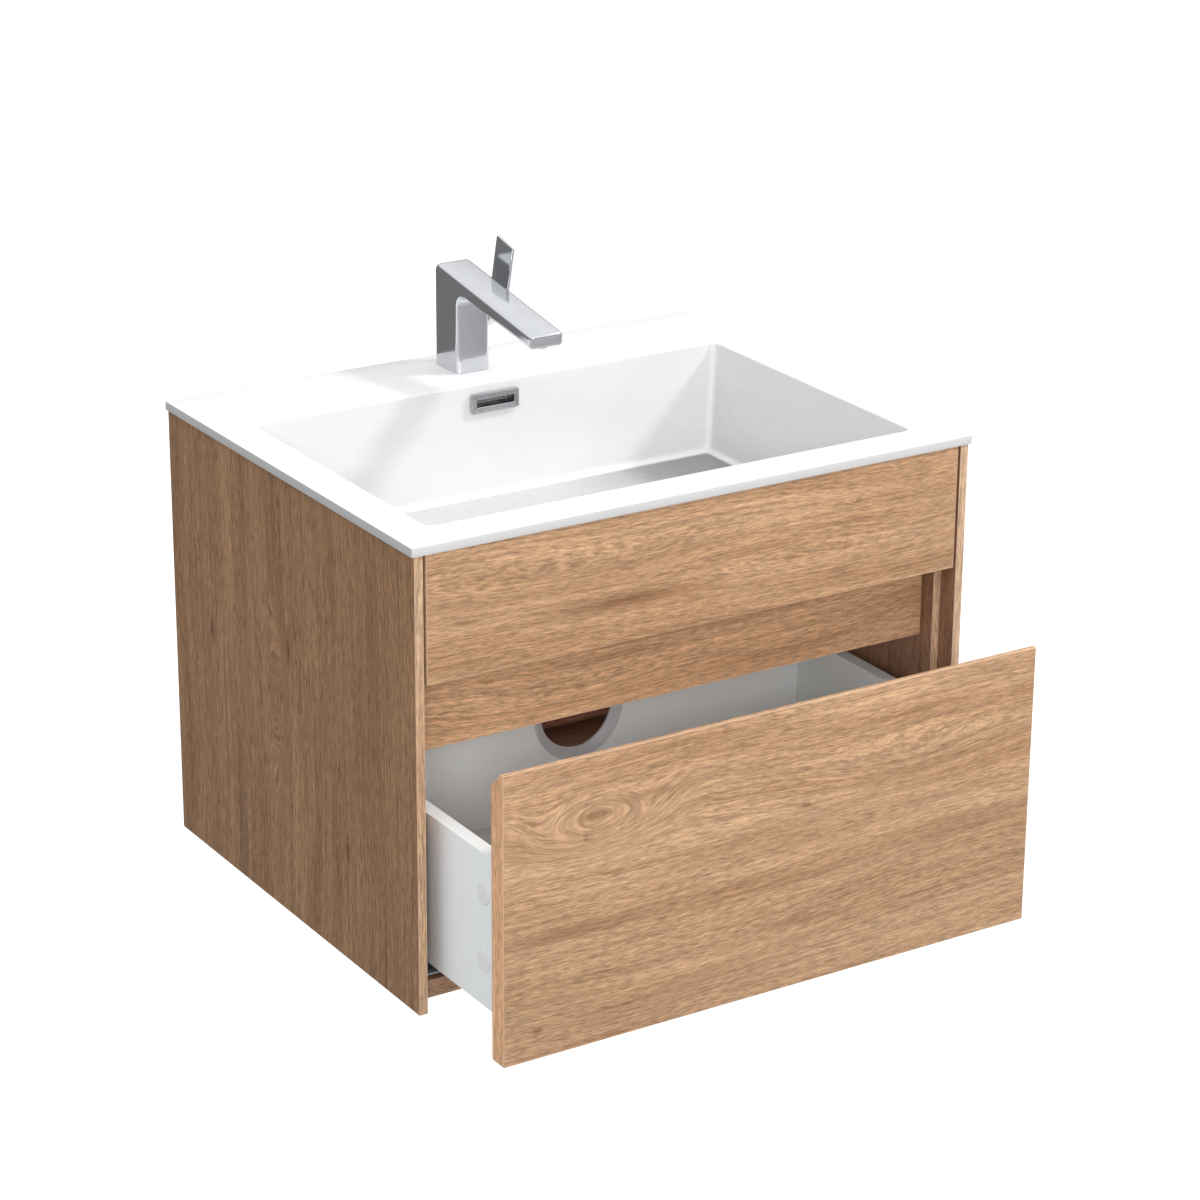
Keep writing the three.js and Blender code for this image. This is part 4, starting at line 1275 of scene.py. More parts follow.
@dataclass
class Basin:
    """The moulded top with its bowl, the overflow and the waste.

    Attributes:
        palette: the finishes.
        slab: thickness of the top.
        wall: thickness of the bowl's wall.
        rim: radius at the bowl's rim.
        edge: radius of the slab's edges.
        corner: radius of the bowl's upright corners.
        foot: radius where the walls meet the floor.
        back_y: the bowl's back edge at the rim.
        front_y: its front edge.
        half_width: half its width at the rim.
        side_draft: how far a side wall leans in on its way down.
        end_draft: how far the front and the back wall lean in.
        waste_y: the middle of the waste.
        hole: radius of the waste hole.
        tap_y: the middle of the tap hole.
        tap_hole: radius of the tap hole.
        round_steps: arc steps at an upright corner.
    """

    palette: Palette
    slab: float = 9 * MM
    wall: float = 9 * MM
    rim: float = 2.2 * MM
    edge: float = 0.9 * MM
    corner: float = 9 * MM
    foot: float = 9 * MM
    back_y: float = -108 * MM
    front_y: float = -438 * MM
    half_width: float = 260 * MM
    side_draft: float = 10 * MM
    end_draft: float = 7 * MM
    waste_y: float = -250 * MM
    hole: float = 23 * MM
    tap_y: float = -50 * MM
    tap_hole: float = 17.5 * MM
    round_steps: int = 10

    def loop(self, half_x: float, back: float, front: float, radius: float,
             level: float) -> np.ndarray:
        """A level ring of corners: a rectangle with rounded corners.

        Args:
            half_x: half its width.
            back: its Y at the back.
            front: its Y at the front.
            radius: the corner radius.
            level: its Z.

        Returns:
            The ring's points, from the right-hand end of the back side round to the left.
        """
        angle = np.linspace(0, math.pi / 2, self.round_steps + 1)
        quarters = []
        for turn, (x,
                   y) in enumerate(((half_x, back), (-half_x, back), (-half_x, front),
                                    (half_x, front))):
            centre = (x - math.copysign(radius, x), y - radius if y == back else y + radius)
            t = angle + turn * math.pi / 2
            quarters.append(np.stack([centre[0] + radius * np.cos(t),
                                      centre[1] + radius * np.sin(t)], 1))
        ring = np.concatenate(quarters)
        return np.column_stack([ring, np.full(len(ring), level)])

    def bowl_ring(self, down: float, grow: float, top: float, depth: float) -> np.ndarray:
        """The bowl's ring at a depth, leaning in by the drafts and grown outwards."""
        share = down / depth
        side, end = self.side_draft * share, self.end_draft * share
        return self.loop(self.half_width - side + grow, self.back_y - end + grow,
                         self.front_y + end - grow,
                         self.corner + max(grow, -self.corner + 0.5 * MM),
                         top - down)

    def top_surface(self) -> Surface:
        """The whole moulding as one closed surface.

        Rings run from the slab's lower outer edge over the deck, round the rim, down the
        wall, round the foot and over the floor to the waste hole, and back outside. The
        back strip of the deck and the back wall are pierced for the tap and the overflow.
        """
        low, high = box_of("basin_top")
        top, floor = high[2], low[2] + self.wall
        depth = top - floor
        half_x, front = high[0], low[1]
        under = top - self.slab
        rows: list[np.ndarray] = []
        arc = np.linspace(0, math.pi / 2, 4)
        for t in arc:
            rows.append(self.loop(half_x - self.edge * (1 - math.sin(t)),
                                  -self.edge * (1 - math.sin(t)),
                                  front + self.edge * (1 - math.sin(t)), 1.5 * MM,
                                  under + self.edge * (1 - math.cos(t))))
        for t in arc:
            rows.append(self.loop(half_x - self.edge * (1 - math.cos(t)),
                                  -self.edge * (1 - math.cos(t)),
                                  front + self.edge * (1 - math.cos(t)), 1.5 * MM,
                                  top - self.edge * (1 - math.sin(t))))
        deck_row = len(rows) - 1
        for t in np.linspace(0, math.pi / 2, 6):
            rows.append(self.bowl_ring(self.rim * (1 - math.cos(t)), self.rim * (1 - math.sin(t)),
                                       top, depth))
        wall_row = len(rows) - 1
        for t in np.linspace(0, math.pi / 2, 8):
            rows.append(self.bowl_ring(depth - self.foot * (1 - math.sin(t)),
                                       -self.foot * (1 - math.cos(t)), top, depth))
        count = len(rows[0])
        angle = np.arctan2(rows[-1][:, 1] - self.waste_y, rows[-1][:, 0])
        drop = 0.6 * MM
        for radius, level in ((self.hole + 16 * MM, floor - 0.5 * drop),
                              (self.hole + 1 * MM, floor - drop),
                              (self.hole, floor - 1.6 * MM), (self.hole, floor - self.wall)):
            rows.append(np.column_stack([radius * np.cos(angle),
                                         self.waste_y + radius * np.sin(angle),
                                         np.full(count, level)]))
        for t in np.linspace(0, math.pi / 2, 6):
            outer = self.foot + self.wall
            rows.append(self.bowl_ring(depth + self.wall - outer * (1 - math.cos(t)),
                                       self.wall - outer * (1 - math.sin(t)), top, depth))
        shell_row = len(rows) - 1
        rows.append(self.bowl_ring(self.slab + 3 * MM, self.wall, top, depth))
        rows.append(self.bowl_ring(self.slab, self.wall + 3 * MM, top, depth))
        neck_row = len(rows) - 1
        points = np.concatenate(rows)
        quads = grid_faces(len(rows), count, True, True)
        side = self.round_steps
        skipped = {deck_row * count + side, wall_row * count + side, shell_row * count + side,
                   neck_row * count + side}
        number = np.arange(len(quads))
        panels = [quads[n] for n in (deck_row * count + side, neck_row * count + side,
                                     wall_row * count + side, shell_row * count + side)]
        faces = [quads[n].tolist() for n in number if n not in skipped]
        flat_rows = {deck_row, neck_row, wall_row, shell_row}
        level_rows = {deck_row, neck_row}
        flat = [n // count in level_rows
                or (n // count in flat_rows and (n % count) % (side + 1) == side)
                for n in number if n not in skipped]

        turn = np.linspace(0, 2 * math.pi, 48, endpoint=False)
        circle = np.column_stack([self.tap_hole * np.cos(turn),
                                  self.tap_y + self.tap_hole * np.sin(turn)])
        upper = np.column_stack([circle, np.full(48, top)])
        lower = np.column_stack([circle, np.full(48, under)])
        points, faces, flat = self.pierce(points, faces, flat, panels[0], panels[1], upper, lower)

        slot_low, slot_high = box_of("overflow_trim")
        middle_z = 0.5 * (slot_low[2] + slot_high[2])
        slot = rounded_outline([(u * 23 * MM, middle_z + v * 5.6 * MM, 2 * MM)
                                for u, v in ((1, 1), (-1, 1), (-1, -1), (1, -1))], 6)
        inner = self.on_wall(slot, points[panels[2]])
        outer = self.on_wall(slot, points[panels[3]])
        points, faces, flat = self.pierce(points, faces, flat, panels[2], panels[3], inner, outer)
        return welded(points, faces, np.array(flat))

    @staticmethod
    def on_wall(slot: np.ndarray, corners: np.ndarray) -> np.ndarray:
        """The slot's outline laid on the leaning wall, whose Y runs straight with Z."""
        high, low = corners[corners[:, 2].argmax()], corners[corners[:, 2].argmin()]
        slope = (high[1] - low[1]) / (high[2] - low[2])
        return np.column_stack([slot[:, 0], low[1] + slope * (slot[:, 1] - low[2]), slot[:, 1]])

    @staticmethod
    def pierce(points: np.ndarray, faces: list, flat: list, near: np.ndarray, far: np.ndarray,
               near_hole: np.ndarray, far_hole: np.ndarray) -> tuple[np.ndarray, list, list]:
        """Puts two holed panels and the tunnel between them in place of two quads.

        Each panel becomes four faces, one from each of its sides to a quarter of the hole.

        Args:
            points: all corners so far.
            faces: all faces so far.
            flat: their flags.
            near: the four corners of the first panel.
            far: the four corners of the second.
            near_hole: the hole's outline on the first panel.
            far_hole: the same outline on the second.

        Returns:
            The corners, faces and flags with the panels added.
        """
        count = len(near_hole)
        start = len(points)
        joined = np.concatenate([points, near_hole, far_hole])
        for offset, quad in ((start, near), (start + count, far)):
            hole = joined[offset:offset + count]
            middle = hole.mean(axis=0)
            corners = joined[quad]
            rays = corners - middle
            rays /= np.linalg.norm(rays, axis=1, keepdims=True)
            spokes = hole - middle
            spokes /= np.linalg.norm(spokes, axis=1, keepdims=True)
            stops = (rays @ spokes.T).argmax(axis=1)
            normal = np.cross(corners[1] - corners[0], corners[2] - corners[1])
            way = 1 if np.dot(np.cross(hole[0] - middle, hole[1] - middle), normal) > 0 else -1
            for index in range(4):
                first, last = stops[index], stops[(index + 1) % 4]
                steps = (last - first) * way % count
                arc = [offset + int((first + way * k) % count) for k in range(steps + 1)]
                faces.append([int(quad[index]), int(quad[(index + 1) % 4]), *arc[::-1]])
                flat.append(True)
        corners = joined[near]
        normal = np.cross(corners[1] - corners[0], corners[2] - corners[1])
        middle = near_hole.mean(axis=0)
        forward = np.dot(np.cross(near_hole[0] - middle, near_hole[1] - middle), normal) > 0
        for k in range(count):
            ring = [start + k, start + (k + 1) % count, start + count + (k + 1) % count,
                    start + count + k]
            faces.append(ring if forward else ring[::-1])
            flat.append(False)
        return joined, faces, flat

    def overflow(self) -> None:
        """The framed slot."""
        low, high = box_of("overflow_trim")
        middle_z = 0.5 * (low[2] + high[2])
        face, back = low[1], high[1]

        def ring(half_x: float, half_z: float, radius: float, y: float) -> np.ndarray:
            """A ring of the frame at one depth."""
            loop = rounded_outline([(u * half_x, middle_z + v * half_z, radius)
                                    for u, v in ((1, 1), (-1, 1), (-1, -1), (1, -1))], 6)
            return np.column_stack([loop[:, 0], np.full(len(loop), y), loop[:, 1]])

        half_x, half_z = 0.5 * (high[0] - low[0]), 0.5 * (high[2] - low[2])
        plate = face + 4 * MM
        steps = [(half_x, half_z, 1.5, plate), (half_x, half_z, 1.5, face + 0.9 * MM),
                 (half_x - 0.3 * MM, half_z - 0.3 * MM, 1.5, face + 0.3 * MM),
                 (half_x - 0.9 * MM, half_z - 0.9 * MM, 1.4, face),
                 (21.6 * MM, 4.3 * MM, 1.0, face), (21.2 * MM, 3.9 * MM, 0.9, face + 0.25 * MM),
                 (21 * MM, 3.7 * MM, 0.8, face + 0.8 * MM), (21 * MM, 3.7 * MM, 0.8, back),
                 (22.4 * MM, 5.1 * MM, 1.5, back), (22.4 * MM, 5.1 * MM, 1.5, plate)]
        rows = np.stack([ring(a, b, r * MM, y) for a, b, r, y in steps])
        quads = grid_faces(rows.shape[0], rows.shape[1], True, True)
        flat = np.zeros(len(quads), dtype=bool)
        put("overflow_frame", welded(rows.reshape(-1, 3), quads.tolist(), flat), Body.CABINET,
            self.palette.satin_chrome, ("overflow_trim",), crease=25.0)

    def build(self) -> None:
        """Makes the top and everything fixed to it."""
        put("basin_moulding", self.top_surface(), Body.CABINET,
            self.palette.composite, ("basin_top",), crease=28.0)
        self.overflow()
        self.duct()
        self.waste()

    def duct(self) -> None:
        """The overflow duct keeps the model's shape and gets its finish."""
        dress("overflow_duct", self.palette.white_plastic)

    def waste(self) -> None:
        """Waste body, its seal, nut and tailpiece, and the stopper with its guide."""
        centre = (0.0, self.waste_y, 0.0)
        low, high = box_of("waste_body")
        bottom, top = low[2], high[2]
        flange = high[0]
        seat = top - 2.5 * MM
        body = rounded_profile([
            (16.4 * MM, bottom), (22.5 * MM, bottom, 0.6 * MM), (22.5 * MM, seat),
            (flange, seat, 0.3 * MM),
            (flange, seat + 1.3 * MM, 0.8 * MM), (flange - 2 * MM, top, 1.5 * MM),
            (23.5 * MM, top, 1.5 * MM), (19 * MM, seat - 2 * MM, 1.0 * MM),
            (19 * MM, bottom + 10 * MM),
            (16.4 * MM, bottom + 7 * MM)])
        put("waste_flange", turned(body, Axis.Z, centre, 96), Body.CABINET,
            self.palette.chrome, ("waste_body",))
        low, high = box_of("waste_tailpiece")
        tail = rounded_profile([(14.3 * MM, low[2], 0.6 * MM), (high[0], low[2], 0.6 * MM),
                                (high[0], high[2], 0.4 * MM), (14.3 * MM, high[2], 0.4 * MM)])
        put("waste_tail", turned(tail, Axis.Z, centre, 72), Body.CABINET,
            self.palette.chrome,
            ("waste_tailpiece",))
        low, high = box_of("waste_seal")
        seal = rounded_profile([(23 * MM, low[2], 0.7 * MM), (high[0], low[2], 0.7 * MM),
                                (high[0], high[2], 0.7 * MM), (23 * MM, high[2], 0.7 * MM)])
        put("waste_washer", turned(seal, Axis.Z, centre, 72), Body.CABINET,
            self.palette.rubber,
            ("waste_seal",))
        low, high = box_of("waste_locknut")
        put("waste_nut", hexagon_nut(centre, 34 * MM, 22.85 * MM, low[2], high[2], 1.2 * MM),
            Body.CABINET, self.palette.brass, ("waste_locknut",))
        dress("stopper_guide", self.palette.grey_plastic)

        low, high = box_of("waste_stopper")
        rise = high[2] - 6.3 * MM
        cap = rounded_profile([
            (0.0, low[2]), (3.9 * MM, low[2], 0.8 * MM), (3.9 * MM, rise, 0.4 * MM),
            (26 * MM, rise, 0.8 * MM),
            (27 * MM, rise + 1.2 * MM, 1.0 * MM), (26.2 * MM, rise + 3.2 * MM, 1.2 * MM),
            (18 * MM, rise + 5 * MM, 6 * MM), (9 * MM, rise + 6 * MM, 6 * MM),
            (0.0, rise + 6.3 * MM)])
        put("stopper_cap", turned(cap, Axis.Z, centre, 96), Body.STOPPER,
            self.palette.chrome,
            ("waste_stopper",))
        low, high = box_of("stopper_seal")
        middle = 0.5 * (low[2] + high[2])
        angle = np.linspace(0, 2 * math.pi, 16, endpoint=False)
        ring = np.column_stack([17.5 * MM + 0.9 * MM * np.cos(angle),
                                middle + 0.5 * (high[2] - low[2]) * np.sin(angle)])
        put("stopper_ring", turned(ring, Axis.Z, centre, 64), Body.STOPPER,
            self.palette.rubber, ("stopper_seal",))


def dress(node: str, finish: "bpy.types.Material") -> None:
    """Gives a node that keeps the model's shape its finish.

    Args:
        node: the node's name.
        finish: the material.
    """
    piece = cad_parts[node]
    for slot in piece.material_slots:
        slot.material = finish
    LOG.info("%s: carried over", node)


def hexagon_nut(centre: Point, across: float, bore: float, low: float, high: float,
                chamfer: float) -> Surface:
    """A hexagonal nut whose corners are turned down at both ends.

    Its outer radius at the angle t is the smaller of the hexagon's and a cone that starts
    at the flats' radius at either end.

    Args:
        centre: a point on the axis.
        across: radius over the corners.
        bore: radius of the bore.
        low: its lower end.
        high: its upper end.
        chamfer: height over which the corners are turned down.

    Returns:
        The closed surface.
    """
    turn = np.linspace(0, 2 * math.pi, 96, endpoint=False)
    flats = across * math.cos(math.pi / 6)
    hexagon = flats / np.cos((turn + math.pi / 6) % (math.pi / 3) - math.pi / 6)
    levels = np.array([low, low + 0.5 * chamfer, low + chamfer, high - chamfer,
                       high - 0.5 * chamfer, high])
    share = np.array([0.0, 0.55, 1.0, 1.0, 0.55, 0.0])
    limit = flats * 0.985 + share[:, None] * (across - flats * 0.985)
    radii = np.minimum(hexagon[None], limit)
    radii = np.concatenate([np.full((1, 96), bore + 0.4 * MM), radii,
                            np.full((1, 96), bore + 0.4 * MM),
                            np.full((1, 96), bore), np.full((1, 96), bore)])
    levels = np.concatenate([[low], levels, [high], [high - 0.4 * MM], [low + 0.4 * MM]])
    grid = np.stack([radii * np.cos(turn), radii * np.sin(turn),
                     np.repeat(levels[:, None], 96, axis=1)], axis=-1)
    quads = grid_faces(grid.shape[0], 96, True, True)
    return welded(grid.reshape(-1, 3) + np.array([centre[0], centre[1], 0.0]), quads.tolist(),
                  np.zeros(len(quads), dtype=bool))


def threaded_rod(centre: Point, radius: float, low: float, high: float, pitch: float) -> Surface:
    """An upright rod whose radius follows a saw-like wave of the given pitch.

    The crest at the height z and the angle t stands where z / pitch - t / 2 pi is whole.

    Args:
        centre: a point on the axis.
        radius: the crests' radius.
        low: its lower end.
        high: its upper end.
        pitch: the distance from crest to crest.

    Returns:
        The closed surface.
    """
    count, around = int((high - low) / pitch * 6), 24
    level = np.linspace(low, high, count)[:, None]
    turn = np.linspace(0, 2 * math.pi, around, endpoint=False)[None, :]
    wave = np.abs((level / pitch - turn / (2 * math.pi)) % 1.0 - 0.5) * 2
    ends = np.clip(np.minimum(level - low, high - level) / pitch, 0, 1)
    depth = 0.6 * pitch * wave + 0.5 * pitch * (1 - ends)
    radii = radius - depth
    grid = np.stack([radii * np.cos(turn), radii * np.sin(turn),
                     np.broadcast_to(level, radii.shape)], axis=-1)
    ends_low = np.zeros((1, around, 3)) + [0, 0, low]
    ends_high = np.zeros((1, around, 3)) + [0, 0, high]
    grid = np.concatenate([ends_low, grid, ends_high])
    quads = grid_faces(grid.shape[0], around, False, True)
    return welded(grid.reshape(-1, 3) + np.array([centre[0], centre[1], 0.0]), quads.tolist(),
                  np.zeros(len(quads), dtype=bool))


# ------------------------------------------------------------------------------------------
# Mixer.


@dataclass
class Mixer:
    """The single-hole mixer: one casting, a side cartridge, a flat lever and its fixings.

    Attributes:
        palette: the finishes.
        soft: radius of the casting's long edges.
        top_back: radius of the casting's upper back corner.
        arch: radius under the spout.
        shroud: how far the casting comes down round its gasket.
        axis_y: the cartridge axis.
        lean: how far the lever leans forwards, in radians.
    """

    palette: Palette
    soft: float = 4.6 * MM
    shroud: float = 0.9 * MM
    top_back: float = 8 * MM
    arch: float = 11 * MM
    axis_y: float = -57 * MM
    lean: float = math.radians(13)
    deck: float = field(init=False)

    def __post_init__(self) -> None:
        """Finds the deck's height."""
        self.deck = float(box_of("basin_top")[1][2])

    def up(self, height: float) -> float:
        """The Z of a height in millimetres above the deck."""
        return self.deck + height * MM

    def body(self) -> None:
        """Column and spout as one bar of the side outline, with softened long edges."""
        low, high = box_of("mixer_body")
        foot = low[2] - self.shroud
        section = [
            (-72 * MM, foot, 0.4 * MM), (-27 * MM, foot, 0.4 * MM),
            (-27 * MM, high[2], self.top_back),
            (-211 * MM, self.up(74), 3.4 * MM), (-209.6 * MM, self.up(60), 3.4 * MM),
            (-72 * MM, self.up(81.3), self.arch)]
        put("mixer_casting", soft_bar(section, Axis.X, low[0], high[0], self.soft), Body.CABINET,
            self.palette.chrome, ("mixer_body",), crease=40.0)
        low, high = box_of("mixer_gasket")
        pad = rounded_outline([(u * high[0], -49.5 * MM + v * 21.5 * MM, 2 * MM)
                               for u, v in ((1, 1), (-1, 1), (-1, -1), (1, -1))], 6)
        put("mixer_pad", extruded(pad, Axis.Z, low[2], high[2], 0.15 * MM, 2), Body.CABINET,
            self.palette.rubber, ("mixer_gasket",))

    def aerator(self) -> None:
        """The outlet: a turned ring with a fine mesh of concentric ribs inside."""
        low, high = box_of("aerator")
        centre = (0.0, 0.5 * (low[1] + high[1]), 0.0)
        radius = 0.5 * (high[0] - low[0])
        ring = rounded_profile([(4.6 * MM, low[2], 0.3 * MM), (radius, low[2], 0.5 * MM),
                                (radius, high[2], 0.3 * MM), (4.6 * MM, high[2], 0.3 * MM)])
        put("aerator_ring", turned(ring, Axis.Z, centre, 64), Body.CABINET,
            self.palette.chrome,
            ("aerator",))
        reach = np.linspace(0, 4.5 * MM, 46)
        wave = low[2] + 1.6 * MM + 0.25 * MM * np.cos(reach / (1.0 * MM) * 2 * math.pi)
        profile = np.concatenate([np.column_stack([reach, wave]),
                                  [[4.5 * MM, low[2] + 3 * MM], [0.0, low[2] + 3 * MM]]])
        put("aerator_screen", turned(profile, Axis.Z, centre, 40), Body.CABINET,
            self.palette.grey_plastic, crease=60.0)

    def cartridge(self) -> None:
        """The collar and the nut on the right-hand side, and the hidden cartridge."""
        centre = (0.0, self.axis_y, self.up(54))
        low, high = box_of("cartridge_collar")
        radius = 0.5 * (high[2] - low[2])
        collar = rounded_profile([
            (8.2 * MM, low[0]), (radius, low[0], 0.3 * MM), (radius, high[0], 1.4 * MM),
            (8.2 * MM, high[0], 0.6 * MM)], 6)
        put("cartridge_cover", turned(collar, Axis.X, centre, 72), Body.CABINET,
            self.palette.chrome, ("cartridge_collar",))
        dress("cartridge", self.palette.white_plastic)
        dress("cartridge_nut", self.palette.brass)
        dress("cartridge_spindle", self.palette.zinc)

    def lever(self) -> None:
        """The flat handle with its rounded foot, on a ball-ended neck."""
        high = box_of("lever_handle")[1]
        inner, outer = high[0] - 3 * MM, high[0]
        outline = rounded_outline([
            (-15.5 * MM, -11 * MM, 9 * MM), (15.5 * MM, -11 * MM, 9 * MM),
            (15.5 * MM, 75.4 * MM, 1.4 * MM), (-15.5 * MM, 75.4 * MM, 1.4 * MM)], 10)
        plate = extruded(outline, Axis.X, inner, outer, 0.9 * MM, 5)
        pivot = 26 * MM
        t = np.linspace(math.pi, math.acos(4.0 / 5), 20)
        ball = np.column_stack([5 * MM * np.sin(t), pivot + 5 * MM * np.cos(t)])
        neck = np.array([[3.6 * MM, pivot + 4.6 * MM], [3.6 * MM, inner - 1.2 * MM],
                         [4.4 * MM, inner - 0.3 * MM], [4.4 * MM, inner + 0.6 * MM],
                         [0.0, inner + 0.6 * MM]])
        stem = turned(np.concatenate([ball, neck]), Axis.X, (0.0, 0.0, 0.0), 40)
        cosine, sine = math.cos(self.lean), math.sin(self.lean)
        turn = np.array([[1, 0, 0], [0, cosine, -sine], [0, sine, cosine]])
        shift = np.array([0.0, self.axis_y, self.up(54)])
        put("lever_plate", together(plate.moved(turn, shift), stem.moved(turn, shift)), Body.LEVER,
            self.palette.chrome, ("lever_handle",), crease=40.0)
        dress("lever_grub_screw", self.palette.zinc)

    def fixings(self) -> None:
        """Stud, clamp plate, nut and the two hose inlets under the deck."""
        low, high = box_of("mounting_stud")
        centre = (0.5 * (low[0] + high[0]), 0.5 * (low[1] + high[1]), 0.0)
        put("stud_thread", threaded_rod(centre, 4 * MM, low[2], high[2], 1.25 * MM), Body.CABINET,
            self.palette.zinc, ("mounting_stud",), crease=50.0)
        low, high = box_of("mounting_nut")
        put("stud_nut", hexagon_nut(centre, 8 * MM, 4.2 * MM, low[2], high[2], 0.8 * MM),
            Body.CABINET,
            self.palette.brass, ("mounting_nut",))
        outline = rounded_outline([
            (-25 * MM, -74 * MM, 4 * MM), (25 * MM, -74 * MM, 4 * MM), (25 * MM, -30 * MM, 2 * MM),
            (15.5 * MM, -30 * MM, 1 * MM), (15.5 * MM, -53 * MM, 5 * MM),
            (-15.5 * MM, -53 * MM, 5 * MM),
            (-15.5 * MM, -30 * MM, 1 * MM), (-25 * MM, -30 * MM, 2 * MM)])
        for node, name, slot, finish in (
                ("clamp_plate", "clamp_pressing", "zinc_steel", self.palette.zinc),
                ("clamp_gasket", "clamp_pad", "rubber", self.palette.rubber)):
            low, high = box_of(node)
            put(name, extruded(outline, Axis.Z, low[2], high[2], 0.4 * MM, 3), Body.CABINET,
                finish, (node,))
        for name in ("hot", "cold"):
            low, high = box_of(f"inlet_{name}")
            middle = (0.5 * (low[0] + high[0]), 0.5 * (low[1] + high[1]), 0.0)
            radius = 0.5 * (high[0] - low[0])
            count = 120
            level = np.linspace(low[2], high[2], count)
            wave = np.abs((level / MM) % 1.0 - 0.5) * 0.7 * MM
            outer = np.column_stack([radius - wave, level])
            inner = np.array([[3.8 * MM, high[2]], [3.8 * MM, low[2]]])
            put(f"inlet_{name}_tail", turned(np.concatenate([outer, inner]), Axis.Z, middle, 28),
                Body.CABINET, self.palette.brass, (f"inlet_{name}",), crease=50.0)

    def build(self) -> None:
        """Makes the whole mixer."""
        self.body()
        self.aerator()
        self.cartridge()
        self.lever()
        self.fixings()


# ------------------------------------------------------------------------------------------
# Drawer.


@dataclass
class Drawer:
    """The drawer: an oak front, a white box with a pipe cut-out, and its fittings.

    Attributes:
        palette: the finishes.
        arris: radius of the boards' edges.
        grip_flat: width left at the top of the front board.
        grip_drop: how far down the finger grip runs.
        notch_up: height of the cut-out's middle below the top of the sides.
        notch: radius of the cut-out.
    """

    palette: Palette
    arris: float = 0.5 * MM
    grip_flat: float = 5 * MM
    grip_drop: float = 14.2 * MM
    notch_up: float = 26 * MM
    notch: float = 50.3 * MM

    def front(self) -> None:
        """The front board, planed back along the top of its inner face."""
        low, high = box_of("drawer_front")
        arris = self.arris
        outline = rounded_outline([
            (low[1], low[2], arris), (high[1], low[2], arris),
            (high[1], high[2] - self.grip_drop, arris),
            (low[1] + self.grip_flat, high[2], arris), (low[1], high[2], arris)], 3)
        width, height = high[0] - low[0], high[2] - low[2]
        marks = (
            Figure(low[0] + 0.165 * width, low[2] + 0.795 * height, 0.072, 0.030, 0.0, 0.0, 0.9),
            Figure(low[0] + 0.165 * width, low[2] + 0.795 * height, 0.016, 0.0045, 0.0, 0.7),
            Figure(low[0] + 0.115 * width, low[2] + 0.415 * height, 0.07, 0.0075, 0.0, 0.55),
            Figure(low[0] + 0.555 * width, low[2] + 0.64 * height, 0.007, 0.0022, 0.006, 1.0),
            Figure(low[0] + 0.82 * width, low[2] + 0.73 * height, 0.004, 0.0016, 0.003, 1.0),
            Figure(low[0] + 0.06 * width, low[2] + 0.10 * height, 0.0045, 0.0022, 0.004, 0.85),
            Figure(low[0] + 0.58 * width, low[2] + 0.39 * height, 0.09, 0.007, 0.0, 0.42),
            Figure(low[0] + 0.86 * width, low[2] + 0.41 * height, 0.08, 0.009, 0.0, 0.36),
            Figure(low[0] + 0.55 * width, low[2] + 0.23 * height, 0.035, 0.004, 0.0, 0.45),
            Figure(low[0] + 0.27 * width, low[2] + 0.82 * height, 0.05, 0.004, 0.0, 0.4),
            Figure(low[0] + 0.76 * width, low[2] + 0.70 * height, 0.12, 0.026, 0.022, 0.0),
            Figure(low[0] + 0.40 * width, low[2] + 0.20 * height, 0.16, 0.028, 0.014, 0.0),
        )
        face = oak("oak_drawer_front", "drawer_front", Axis.X, Axis.Z, figures=marks, seed=81.0)
        end = oak("end_drawer_front", "drawer_front", Axis.Z, Axis.Y, seed=82.0, veins=0.3,
                  pale=(0.80, 0.475, 0.27), deep=(0.68, 0.375, 0.20))
        put("drawer_front_board", extruded(outline, Axis.X, low[0], high[0], arris, 3), Body.DRAWER,
            face, ("drawer_front",), {Face.LEFT: end, Face.RIGHT: end})

    def box(self) -> None:
        """Sides, floor and the back with its round-bottomed cut-out."""
        for node in ("drawer_side_left", "drawer_side_right", "drawer_floor"):
            low, high = box_of(node)
            put(f"{node}_board", rounded_block(low, high, self.arris), Body.DRAWER,
                self.palette.melamine, (node,))
        low, high = box_of("drawer_back")
        centre_z = high[2] - self.notch_up
        turn = np.linspace(0, -math.pi, 49)
        arc = np.column_stack([self.notch * np.cos(turn), centre_z + self.notch * np.sin(turn)])
        outline = np.concatenate([
            [[low[0], low[2]], [high[0], low[2]], [high[0], high[2]], [self.notch, high[2]]],
            arc, [[-self.notch, high[2]], [low[0], high[2]]]])
        put("drawer_back_board", extruded(outline, Axis.Y, low[1], high[1], self.arris, 2),
            Body.DRAWER,
            self.palette.melamine, ("drawer_back",))

    def notch_liner(self) -> None:
        """The liner of the cut-out: a dished section carried round a U."""
        low, high = box_of("notch_trim")
        centre_z, front = high[2] - self.notch_up, low[1]
        depth = high[1] - low[1]
        section = rounded_outline([
            (50 * MM, 0.0, 0.3 * MM), (48.6 * MM, 0.0, 0.5 * MM), (40 * MM, 5 * MM, 0.45 * MM),
            (40 * MM, 6 * MM, 0.45 * MM), (46 * MM, depth, 0.5 * MM), (50 * MM, depth, 0.4 * MM)],
                                  3)
        turn = np.linspace(0, -math.pi, 65)
        outward = np.column_stack([np.cos(turn), np.zeros(65), np.sin(turn)])
        outward = np.concatenate([outward[:1], outward, outward[-1:]])
        places = np.tile([0.0, front, centre_z], (67, 1))
        places[[0, -1], 2] = high[2]
        # The liner's grey is painted shade on a white moulding.
        put("notch_liner", swept(section, places, outward, np.array([0.0, 1.0, 0.0])), Body.DRAWER,
            self.palette.shaded_liner_plastic, ("notch_trim",))

